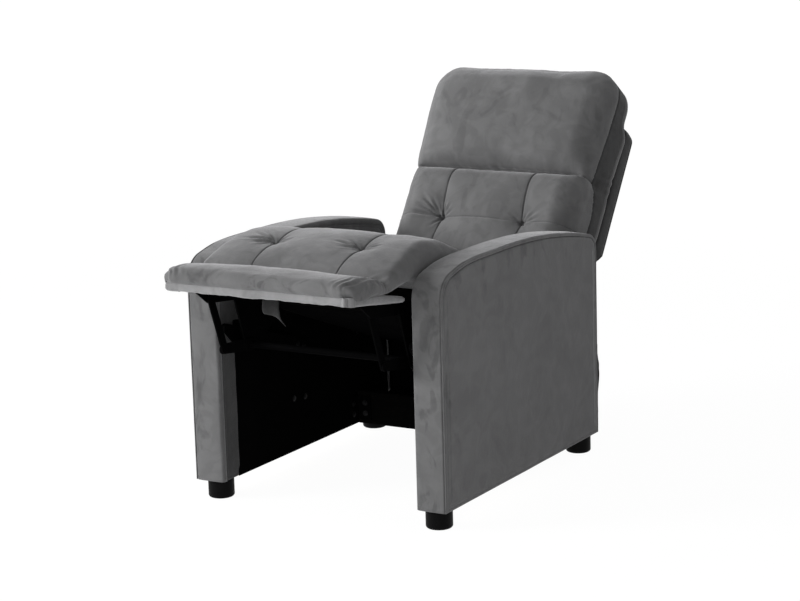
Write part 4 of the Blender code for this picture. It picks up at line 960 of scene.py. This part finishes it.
backForm = Settings(
    bendY=0.345, bendZ=0.430, slope=math.radians(35), spacing=0.0072, fine=0.0020, reach=0.007, high=24,
    bottom=-0.003, top=0.602, half=0.2525, headHalf=0.2635, tuftX=0.114, tuftHeight=0.147, headSeam=0.296,
    corner=0.078, lowCorner=0.030, roll=0.034, rearRoll=0.014, flare=0.0070, depth=0.143, headDepth=0.116,
    bandHead=0.042, bandLow=0.078, bandBack=0.022, fill=0.8, puff=0.031, column=(0.0034, 0.010), row=(0.0028, 0.010),
    pit=(0.013, 0.016), dip=(0.013, 0.056), headFoot=(0.040, 0.017), crown=0.040, crownMiddle=0.43, crownReach=0.185,
    crownFoot=(0.048, 0.014), crownSides=0.022, seam=(0.0022, 0.0015), rowSeam=(0.0020, 0.0015),
    headLine=(0.0058, 0.0032), tuft=(0.0055, 0.0050), bandSeams=(0.0026, 0.0022),
    sags=((-0.020, 0.0026), (0.002, 0.0022)), sagSlope=0.32, bandPucker=(0.0011, 0.011, 75),
    looseness=((0.0014, 0.060, 73), (0.0005, 0.020, 74)))
backTufts = {-1: [(175, 0.110, 0.0062, 0.0046, 0.06), (159, 0.105, 0.0074, 0.0042, -0.04),
                  (143, 0.095, 0.0068, 0.0038, -0.06), (126, 0.070, 0.0050, 0.0034, -0.04),
                  (78, 0.050, 0.0040, 0.0030, 0.05), (56, 0.050, 0.0040, 0.0030, 0.05),
                  (30, 0.050, 0.0030, 0.0034, 0.0), (235, 0.050, 0.0026, 0.0036, 0.0)],
             1: [(170, 0.060, 0.0032, 0.0036, 0.0), (148, 0.050, 0.0028, 0.0034, 0.0),
                 (30, 0.065, 0.0036, 0.0036, 0.08), (12, 0.070, 0.0036, 0.0038, 0.05),
                 (60, 0.040, 0.0028, 0.0032, 0.0), (-40, 0.050, 0.0026, 0.0036, 0.0)]}


def tiltPlace(x, y, z, depth, height, slope):
    # A place behind and above a line across the chair, on a plane that leans back
    c, s = math.cos(slope), math.sin(slope)
    return xyz(x, y + depth * c + height * s, z - depth * s + height * c)


def backPlace(x, depth, height):
    return tiltPlace(x, backForm.bendY, backForm.bendZ, depth, height, backForm.slope)


def backFront(x, h):
    # Depth of the front face: negative is towards the sitter
    f = backForm
    toSeam = np.abs(np.abs(x) - f.tuftX)
    toRow, toHead = h - f.tuftHeight, h - f.headSeam
    toTuft = np.hypot(toSeam, toRow)
    puff = (nip(toSeam, *f.column) + nip(toRow, *f.row) + nip(toTuft, *f.pit) + dent(toTuft, *f.dip)
            + nip(toHead, *f.headFoot) - f.puff * ease(0.0, 0.045, h - f.bottom))
    crown = -f.crown * np.sqrt(np.clip(1 - np.abs((h - f.crownMiddle) / f.crownReach) ** 4, 0.0, 1.0))
    crown += nip(toHead, *f.crownFoot) + f.crownSides * (x / f.half) ** 2
    return np.where(h < f.headSeam, puff, crown)


def buildBackPad():
    f = backForm
    middleH, halfH = (f.bottom + f.top) / 2, (f.top - f.bottom) / 2
    unit, quads = lattice(clustered(-f.half, f.half, (-f.tuftX, f.tuftX), f) / f.half,
                          (clustered(f.bottom, f.top, (f.tuftHeight, f.headSeam), f) - middleH) / halfH,
                          np.linspace(-1, 1, f.high + 1))
    h = unit[:, 1] * halfH
    wide = f.half + (f.headHalf - f.half) * ease(0.27, 0.50, h + middleH)
    # the corners of the outline, as seen from the front
    size = xyz(wide, halfH)
    corner = np.where(h > 0, f.corner, f.lowCorner)[:, None]
    flat = xyz(unit[:, 0] * wide, h)
    inner = np.clip(flat, corner - size, size - corner)
    away = flat - inner
    flat = inner + away / lengths(away) * np.abs(away).max(axis=1, keepdims=True)
    # the roll of its edges, from the front face round the side band to the rear
    q = np.abs(flat) - (size - corner)
    out = np.maximum(q, 0)
    reach = np.linalg.norm(out, axis=1)
    inside = corner[:, 0] - reach - np.minimum(q.max(axis=1), 0)
    nearest = np.eye(2)[q.argmax(axis=1)]
    facing = np.where(reach[:, None] > tiny, out / lengths(out), nearest) * np.sign(flat)
    deep = (f.depth + (f.headDepth - f.depth) * ease(0.455, 0.490, flat[:, 1] + middleH)) / 2
    c = unit[:, 2] * deep
    roll = np.minimum(np.where(c > 0, f.rearRoll, f.roll), 0.9 * deep)
    inner = xyz(np.minimum(-inside, -roll), np.clip(c, roll - deep, deep - roll))
    away = xyz(-inside, c) - inner
    newE, newC = (inner + away / lengths(away) * roll[:, None]).T
    flat = flat + facing * (newE + inside)[:, None]
    x, tall = flat[:, 0], flat[:, 1] + middleH
    fromFront = deep + newC
    sunk = np.where(newC < 0, 0.005, 0.002) * bump(tall - f.headSeam, 0.016) * ease(0.05, 0.0, inside)
    x = x - np.sign(x) * sunk
    # the sides bulge over the frame behind, clear of the arms and of the head's upper half
    x = x * (1 + f.flare / f.half * ease(0.03, 0.11, fromFront) * ease(0.10, 0.20, tall)
             * (1 - 0.6 * ease(0.30, 0.40, tall)) * ease(0.50, 0.46, tall))
    planX, planH = unit[:, 0] * f.half, h + middleH
    frontShare = ease(0.1, -0.9, newC / deep) * ease(0.0, 0.062, inside)
    place = backPlace(x, fromFront + frontShare * backFront(planX, planH), tall)
    back = makePiece("back_pad", toWorld(place), quads, velvet, weld=False)
    onFace = ease(0.2, -0.8, newC / deep)
    keepValues(back.data, planX=planX, planH=planH, onFace=onFace, fromFront=fromFront, inside=inside, rear=2 * deep)
    toSeam, toRow = np.abs(np.abs(planX) - f.tuftX), planH - f.tuftHeight
    inflate(back, ease(0.1, 0.5, newC / deep), bump(planH - f.headSeam, 0.006) * onFace,
            bump(np.hypot(toSeam, toRow), 0.012) * onFace,
            dent(toSeam, 0.8, 0.004) * (planH < f.headSeam) * onFace, dent(toRow, 0.7, 0.004) * onFace)
    subdivide(back)
    return back


def sculptBack(back):
    f = backForm
    planX, planH, onFace, fromFront, inside, rear = takeValues(back.data, "planX", "planH", "onFace", "fromFront",
                                                               "inside", "rear")
    points, normals = readPoints(back.data), readAll(back.data.vertex_normals, "vector", 3).astype(float)
    bandFront = f.bandLow + (f.bandHead - f.bandLow) * ease(0.20, 0.34, planH)
    bandRear = rear - f.bandBack
    onBand = fromFront - bandFront
    flat = xyz(planX, planH, 0)
    toSeam = np.abs(np.abs(planX) - f.tuftX)
    toRow, toHead = planH - f.tuftHeight, planH - f.headSeam
    below = ease(0.0, -0.003, toHead)
    push = -(dent(toSeam, *f.seam) * below + dent(toRow, *f.rowSeam)) * onFace
    push -= dent(toHead, *f.headLine) * ease(0.004, -0.006, onBand)
    # small puckers along the sewn lines
    pucker = softNoise(flat * [1, 0.35, 1], 0.010, 71)
    push += pucker * (nip(toHead, 0.0010, 0.012) + nip(toRow, 0.0007, 0.010) * onFace)
    pucker = softNoise(flat * [0.35, 1, 1], 0.010, 72)
    push += pucker * nip(toSeam, 0.0008, 0.010) * ease(0.001, 0.004, toSeam) * below * onFace
    for side, fan in backTufts.items():
        dx = planX - side * f.tuftX
        push -= (creaseFan(dx, toRow, fan) + dent(np.hypot(dx, toRow), *f.tuft)) * onFace
    # the seams of the side band, and its sagging folds
    edge = ease(0.012, 0.006, inside)
    for line, deep in zip((bandFront, bandRear), f.bandSeams):
        push -= dent(fromFront - line, deep, 0.0022) * edge
    pucker = ripples(xyz(planX + planH, planH - planX, 0.3 * fromFront), f.bandPucker)
    push += pucker * nip(onBand, 1, 0.014) * ease(0.04, 0.01, inside)
    for low, deep in f.sags:
        push -= dent(toHead + low - f.sagSlope * onBand, deep, 0.0070) * edge * ease(-0.01, 0.01, onBand)
    push += ripples(flat, *f.looseness)
    writePoints(back.data, points + normals * push[:, None])
    # the side band takes a darker copy of the velvet: painted shade
    corners = readAll(back.data.loops, "vertex_index", 1, np.int32).reshape(-1, 4)
    between = np.minimum(onBand, bandRear - fromFront)
    back.data.materials.append(shadedVelvet)
    back.data.polygons.foreach_set("material_index", (between[corners].mean(axis=1) > 0).astype(np.int32))


backPad = buildBackPad()
sculptBack(backPad)
declare(backPad, "velvet", "back", ("back_cushion", "head_cushion"), fill=backForm.fill)
print("recliner: back pad made")


# Velvet-covered frame behind the back pad

shellForm = Settings(
    half=0.2562, lowHalf=0.2416, step=0.150, stepReach=0.012, top=0.5085, bottom=-0.073, corner=0.030, front=0.1456,
    sideCount=70, topCount=60, cornerCount=14, puff=0.0022, pinch=0.0016, ripple=(0.0007, 0.06, 21))
shellProfile = [  # inset, depth behind the shell's front, share of the seam
    (0.018, 0.0, 0), (0.010, 0.0, 0), (0.005, 0.0008, 0), (0.0022, 0.0026, 0), (0.0006, 0.0056, 0),
    (0.0, 0.0095, 0), (-0.0006, 0.016, 0), (-0.0010, 0.026, 0), (-0.0006, 0.035, 0), (0.0, 0.0405, 0.2),
    (0.0002, 0.0420, 0.8), (0.0002, 0.0427, 1.0), (0.0002, 0.0434, 0.8), (0.0, 0.0446, 0.2),
    (0.0004, 0.0470, 0), (0.0016, 0.0494, 0), (0.0040, 0.0512, 0), (0.0075, 0.0521, 0), (0.0120, 0.0525, 0),
    (0.0200, 0.0526, 0)]


def shellChains(inset):
    f = shellForm
    turn = np.linspace(0, math.pi / 2, f.cornerCount)
    r, cx, ch = f.corner - inset, f.half - f.corner, f.top - f.corner
    rightCorner = xyz(cx + r * np.sin(turn), ch + r * np.cos(turn))
    top = np.concatenate([rightCorner[::-1] * [-1, 1], xyz(np.linspace(-cx, cx, f.topCount)[1:-1], f.top - inset),
                          rightCorner])
    h = np.linspace(f.bottom + inset, ch, f.sideCount)
    widen = ease(f.step - f.stepReach, f.step + f.stepReach, h)
    right = xyz(f.lowHalf + (f.half - f.lowHalf) * widen - inset, h)
    return right * [-1, 1], top, right, xyz(np.linspace(-right[0, 0], right[0, 0], len(top)), h[0])


def placeShell(x, h, deep, share):
    f = shellForm
    depth = f.front + deep + ripples(xyz(x, h, deep), f.ripple)
    return toWorld(backPlace(x * (1 - share * f.pinch / f.half), depth, h))


# the shell takes the darker copy of the velvet: painted shade
shell = panelBody("back_shell", shellChains, shellProfile, placeShell, shellForm.puff, shadedVelvet)
declare(shell, "velvet", "back", ("back_stile_left", "back_stile_right", "back_top_rail", "back_rear_cover"))
print("recliner: back shell made")


# Velvet-wrapped board of the footrest

boardForm = Settings(
    middleY=-0.4920, middleZ=0.5432, slope=math.radians(8.28), half=0.2432, length=0.1168, thick=0.0106,
    radius=0.0085, taper=0.0075, waves=((0.0015, 0.030, 31), (0.00075, 0.012, 32)), pucker=(0.0011, 0.010, 33),
    stapleInset=0.016, boltX=0.199, boltsAlong=(-0.088, 0.007))
boardDown = (0, -math.sin(boardForm.slope), -math.cos(boardForm.slope))


def crowded(count, bend):
    # Places from -1 to 1 that crowd towards both ends
    return np.sin(np.linspace(-1, 1, count) * bend) / math.sin(bend)


def boardPlace(x, along, rise):
    # along runs to the front from the board's middle
    return tiltPlace(x, boardForm.middleY, boardForm.middleZ, -along, rise, boardForm.slope)


def buildBoard():
    f = boardForm
    unit, quads = lattice(crowded(121, 1.35), crowded(61, 1.35), np.linspace(-1, 1, 9))
    half = np.array([f.half, f.length, f.thick])
    soft = roundOff(unit * half, half, f.radius)
    along, high = soft[:, 1] / f.length, soft[:, 2] / f.thick
    wave = ripples(soft * [1, 1, 0.4], f.waves[0]) + ripples(soft, f.waves[1])
    low = ease(0.2, -0.9, high) * ease(0.75, 1.0, np.abs(along))
    pucker = ripples(soft * [1, 0.2, 0.3], f.pucker) * ease(0.90, 0.98, along)
    # the top drops towards the hinge, under the pad
    drop = f.taper * ease(0.03, -f.length, soft[:, 1]) * ease(-0.2, 0.9, high)
    soft[:, 2] += wave * (0.4 + low) - drop
    soft[:, 1] += 0.7 * wave + pucker
    # the board takes the brighter copy of the velvet: painted light
    board = makePiece("footrest_board_cover", toWorld(boardPlace(*soft.T)), quads, litVelvet)
    declare(board, "velvet", "footrest", ["footrest_board"])


foldForm = Settings(
    side=0.010, radius=0.0096, front=0.003, roll=0.0054, tall=0.0100, thickness=0.0012, gap=0.0010, lower=0.0004,
    turns=math.radians(300))


def buildBoardFold():
    # The cover's end at the near front corner, turned round it and rolled on itself
    f, b = foldForm, boardForm
    arc = f.radius * math.pi / 2
    straight = f.side + arc + f.front
    s = np.linspace(0, straight + f.roll * f.turns, 60)
    turn = np.clip((s - f.side) / f.radius, 0, math.pi / 2)
    past = np.clip(s - f.side - arc, 0, f.front)
    curl = np.clip(s - straight, 0, None) / f.roll
    radius = f.roll * (1 - 0.06 * curl)
    inset = f.gap - f.radius
    x = b.half + inset + f.radius * np.cos(turn) - past - radius * np.sin(curl)
    along = b.length + inset + f.radius * np.sin(turn) - np.clip(f.side - s, 0, None)
    along += np.where(curl > 0, f.roll - radius * np.cos(curl), 0.0)
    v = np.linspace(-1, 1, 15)
    rise = f.tall * v[None, :] * (1 - 0.10 * np.clip(curl / 5, 0, 1))[:, None] - f.lower
    grid = boardPlace(np.repeat(x, len(v)), np.repeat(along, len(v)), rise.ravel()).reshape(len(s), len(v), 3)
    # the fold takes the same brighter copy: painted light
    cloth, area = sheetBody("board_corner_fold", grid, f.thickness, (1, -1, 0), litVelvet)
    declare(cloth, "velvet", "footrest", flat=(round(area / (2 * f.tall), 4), 2 * f.tall), held="folded",
            rests_on=["footrest_board_cover"])


flapForm = Settings(
    x=-0.064, y=-0.447, top=0.5272, drop=0.058, half=0.021, flare=0.012, drift=0.018, curl=0.0132, twist=0.013,
    thickness=0.0016, ease=1.02, fullness=0.80)


def buildFlap():
    # A loose end of the board's cover that hangs down and curls
    f = flapForm
    t, w = np.meshgrid(np.linspace(0, 1, 30), np.linspace(-1, 1, 15), indexing="ij")
    x = f.x + w * (f.half + f.flare * t) + f.drift * t**2
    y = f.y - f.curl * np.sin(2.4 * t) - f.twist * w * t + 0.004 * np.cos(3 * w) * t
    z = f.top - f.drop * np.sin(1.45 * t) / math.sin(1.45) - 0.010 * w * t**3 + 0.006 * (1 - w**2) * t**4
    # the loose end takes the much darker copy of the velvet: painted shade
    cloth, area = sheetBody("board_loose_end", np.stack([x, y, z], -1), f.thickness, (0, -1, 0), deepShadedVelvet)
    wide = 2 * (f.half + f.flare)
    declare(cloth, "velvet", "footrest", flat=(round(wide, 4), round(f.ease * area / (f.fullness * wide), 4)),
            held="hung", area=round(area, 6), rests_on=["footrest_board_cover"])


def buildBoardFasteners():
    f = boardForm
    corners = np.array([(-1, -1), (1, -1), (1, 1), (-1, 1), (-1, -1)])
    t = np.linspace(0.03, 0.97, 20)[:, None]
    chains = []
    for a, b in zip(corners, corners[1:]):
        x, along = ((a + (b - a) * t) * [f.half - f.stapleInset, f.length - f.stapleInset]).T
        chains.append((boardPlace(x, along, -f.thick - 0.0004), boardDown))
    placeStaples("board_staples", "footrest", chains, bolt)
    bolts = [(boardPlace(side * f.boltX, along, -f.thick - 0.0035), boardDown)
             for (_, side), along in product(sides, f.boltsAlong)]
    placeBolts("footrest_bolts", "footrest", bolts)


buildBoard()
buildBoardFold()
buildFlap()
buildBoardFasteners()
print("recliner: footrest board made")


# Black cloths; waves are a depth, a size and a seed

def blackCloth(name, grid, form, outer, rests, held="hung", body=None, stands=()):
    # As wide as its form says; its length follows from its area
    cloth, area = sheetBody(name, grid, form.thickness, outer, lining)
    flat = (2 * form.half, round(area / (2 * form.half), 3))
    declare(cloth, "lining", body, stands, flat=flat, held=held, rests_on=rests)
    return cloth


dustForm = Settings(
    half=0.3365, top=0.2700, bottom=0.0960, y=0.3916, belly=0.0400, thickness=0.0012,
    waves=((0.0035, 0.05, 41), (0.0014, 0.02, 42)))


def buildDustCloth():
    f = dustForm
    x, t = np.meshgrid(f.half * crowded(150, 1.42), np.linspace(0, 1, 54))
    ends = np.sqrt(ease(0.0, 0.055, 1 - np.abs(x) / f.half))
    flat = xyz(x, t * 0.25, 0)
    folds = ripples(flat * [1, 0.35, 1], f.waves[0]) + ripples(flat, f.waves[1])
    belly = f.belly * np.sin(math.pi * t**0.9) ** 0.85 * ends
    y = f.y + belly + folds.reshape(x.shape) * np.sin(math.pi * t)
    grid = np.stack([x, y, f.top + (f.bottom - f.top) * t], -1)
    blackCloth("rear_black_cloth", grid, f, (0, 1, 0), ["arm_cap_left", "arm_cap_right"], "hung", "base",
               ["rear_dust_cloth"])


apronForm = Settings(
    half=0.2570, rearY=0.3930, rearZ=0.1015, frontY=0.2468, frontZ=0.0860, sag=0.010, thickness=0.0012,
    wave=(0.0025, 0.05, 43))


def buildApron():
    # the cloth's lower end, brought forward to the cross rail
    f = apronForm
    x, t = np.meshgrid(np.linspace(-f.half, f.half, 90), np.linspace(0, 1, 24))
    folds = ripples(xyz(x, t * 0.15, 0), f.wave).reshape(x.shape)
    y = f.rearY + (f.frontY - f.rearY) * t
    z = f.rearZ + (f.frontZ - f.rearZ) * t - (f.sag + folds) * np.sin(math.pi * t)
    blackCloth("rear_black_apron", np.stack([x, y, z], -1), f, (0, 0, -1), ["cross_rail", "rear_black_cloth"],
               "hung", "base")


underForm = Settings(
    half=0.2172, rear=-0.052, front=0.580, rise=-0.1806, sag=0.012, thickness=0.0012, slope=math.radians(20),
    waves=((0.003, 0.06, 51), (0.001, 0.022, 52)))


def deckPlace(x, forward, rise):
    return tiltPlace(x, backForm.bendY, backForm.bendZ, -forward, rise, underForm.slope)


def buildUnderCloth():
    f = underForm
    x, forward = np.meshgrid(np.linspace(-f.half, f.half, 80), np.linspace(f.rear, f.front, 110))
    inside = (1 - (x / f.half) ** 2) * np.sin(math.pi * (forward - f.rear) / (f.front - f.rear))
    folds = ripples(xyz(x, forward, 0), *f.waves).reshape(x.shape)
    grid = deckPlace(x, forward, f.rise - np.sqrt(inside) * (f.sag + folds)).reshape(x.shape + (3,))
    blackCloth("seat_black_cloth", grid, f, (0, 0, -1), ["seat_front_rail", "seat_rear_rail"], "stretched", "seat",
               ["seat_base_cloth"])


tailForm = Settings(
    half=0.2360,
    path=np.array([(0.3360, 0.2960), (0.3450, 0.3260), (0.3600, 0.3560), (0.3750, 0.3840), (0.3900, 0.4080)]),
    thickness=0.0012, wave=(0.0030, 0.04, 45))


def buildTail():
    # the black end of the back's cover, brought down to the rear rail of the seat
    f = tailForm
    at = np.linspace(0, len(f.path) - 1, 34)
    line = through(np.arange(len(f.path)), f.path, at)
    t, x = np.meshgrid(at / at[-1], np.linspace(-f.half, f.half, 70), indexing="ij")
    folds = ripples(xyz(x, 0.13 * t, 0) * [1, 0.4, 1], f.wave).reshape(x.shape) * np.sin(math.pi * t)
    grid = np.stack([x, line[:, :1] + 0.8 * folds, line[:, 1:] - 0.5 * folds], -1)
    cloth = blackCloth("back_tail_cloth", grid, f, (0, -1, 0.5), ["seat_rear_rail", "back_pad"])
    bendBetween(cloth)


def buildClothStaples():
    d, u, e = dustForm, underForm, stapleForm.edge
    x = np.linspace(-d.half + 0.02, d.half - 0.02, 60)
    rows = [(xyz(x, d.y + 0.0046, z), (0, 1, 0)) for z in (d.top - e, d.bottom + e)]
    placeStaples("rear_staples", "base", rows)
    down = (0, -math.sin(u.slope), -math.cos(u.slope))
    x = np.linspace(-u.half + 0.01, u.half - 0.01, 40)
    forward = np.linspace(u.rear + 0.01, u.front - 0.01, 50)
    rows = [(x, u.rear + 0.005), (x, u.front - 0.005)]
    rows += [(side * (u.half - 0.005), forward) for _, side in sides]
    placeStaples("seat_staples", "seat", [(deckPlace(*row, u.rise - 0.0024), down) for row in rows])


buildDustCloth()
buildApron()
buildUnderCloth()
buildTail()
buildClothStaples()
print("recliner: black cloths made")


# Floor, light and camera

def seenBy(tree, *rays):
    path = addNode(tree, "ShaderNodeLightPath").outputs
    seen = path[rays[0]]
    for ray in rays[1:]:
        seen = mathNode(tree, "MAXIMUM", seen, path[ray])
    return seen


floorForm = Settings(
    half=40.0, dark=(0.90, 0.90, 0.90), light=(0.93, 0.93, 0.93), grain=2.0, roughness=0.9, specular=0.1,
    glowShare=0.94, far=(1.6, 6.0), glow=(1.03, 1.063))


def buildFloor():
    f = floorForm
    mesh = bpy.data.meshes.new("floor")
    corners = [(x * f.half, y * f.half, 0) for x, y in ((-1, -1), (1, -1), (1, 1), (-1, 1))]
    mesh.from_pydata(corners, [], [(0, 1, 2, 3)])
    floor = link("floor", mesh)
    material, tree, shader, where = freshMaterial("pale_floor")
    colour = mixColours(tree, noiseNode(tree, where, f.grain), grey(f.dark), grey(f.light))
    feed(tree, shader, {"Base Color": colour, "Roughness": f.roughness, "Specular IOR Level": f.specular})
    # far off, where the lamps don't reach, the floor is as bright as the background
    away = addNode(tree, "ShaderNodeVectorMath", {0: where}, operation="LENGTH").outputs["Value"]
    glow = addNode(tree, "ShaderNodeEmission", {"Strength": spread(tree, away, *f.far, *f.glow)})
    share = mathNode(tree, "MULTIPLY", seenBy(tree, "Is Camera Ray", "Is Glossy Ray"), f.glowShare)
    mix = addNode(tree, "ShaderNodeMixShader", {0: share, 1: shader.outputs[0], 2: glow.outputs[0]})
    feed(tree, tree.nodes["Material Output"], {"Surface": mix.outputs[0]})
    mesh.materials.append(material)


lampForm = (  # name, place, aim, size, watts
    ("key", (-3.5, -3.2, 1.9), (0, 0, 0.5), 2.0, 228.0),
    ("front", (0.6, -4.6, 2.4), (0, 0, 0.5), 2.6, 40.0),
    ("fill", (4.2, -1.2, 1.6), (0, 0, 0.5), 2.4, 19.0),
    ("left", (-1.30, 0.0, 1.45), (0, 0.1, 0.6), 1.3, 13.0),
    ("low", (1.3, -3.0, 0.55), (0.2, -0.2, 0.45), 1.2, 9.0),
    ("rear", (1.2, 3.6, 2.8), (0, 0.2, 0.5), 2.4, 22.0))
skyForm = Settings(light=0.18, seen=0.82, colour=(1.0, 1.0, 1.0, 1.0))


def buildLight():
    for name, place, aim, size, watts in lampForm:
        lamp = link(name, assign(bpy.data.lights.new(name, "AREA"), shape="DISK", size=size, energy=watts))
        turn = (Vector(aim) - Vector(place)).to_track_quat("-Z", "Y").to_euler()
        assign(lamp, location=place, rotation_euler=turn, visible_camera=False)
    scene.world = bpy.data.worlds.new("studio")
    scene.world.use_nodes = True
    tree = scene.world.node_tree
    seen = seenBy(tree, "Is Camera Ray", "Is Glossy Ray", "Is Transmission Ray")
    feed(tree, tree.nodes["Background"], {"Strength": layered(tree, skyForm.light, (seen, skyForm.seen)),
                                          "Color": skyForm.colour})


cameraForm = Settings(
    place=(2.83399, -4.77318, 1.57692), forward=(-0.499382, 0.842371, -0.202556), roll=math.radians(-1.67),
    focal=2367.9, imageWidth=800, sensor=36.0, clipEnd=100)


def buildCamera():
    f = cameraForm
    forward = Vector(f.forward).normalized()
    right = forward.cross(Vector((0, 0, 1))).normalized()
    up = right.cross(forward)
    x = right * math.cos(f.roll) + up * math.sin(f.roll)
    y = up * math.cos(f.roll) - right * math.sin(f.roll)
    data = assign(bpy.data.cameras.new("photo_camera"), sensor_fit="HORIZONTAL", sensor_width=f.sensor,
                  lens=f.focal * f.sensor / f.imageWidth, clip_end=f.clipEnd)
    matrix = Matrix((x, y, -forward)).transposed().to_4x4()
    matrix.translation = Vector(f.place) + Vector((0, rearShift, 0))
    scene.camera = link("photo_camera", data)
    scene.camera.matrix_world = matrix


buildFloor()
buildLight()
buildCamera()
print("recliner: floor, light and camera made")
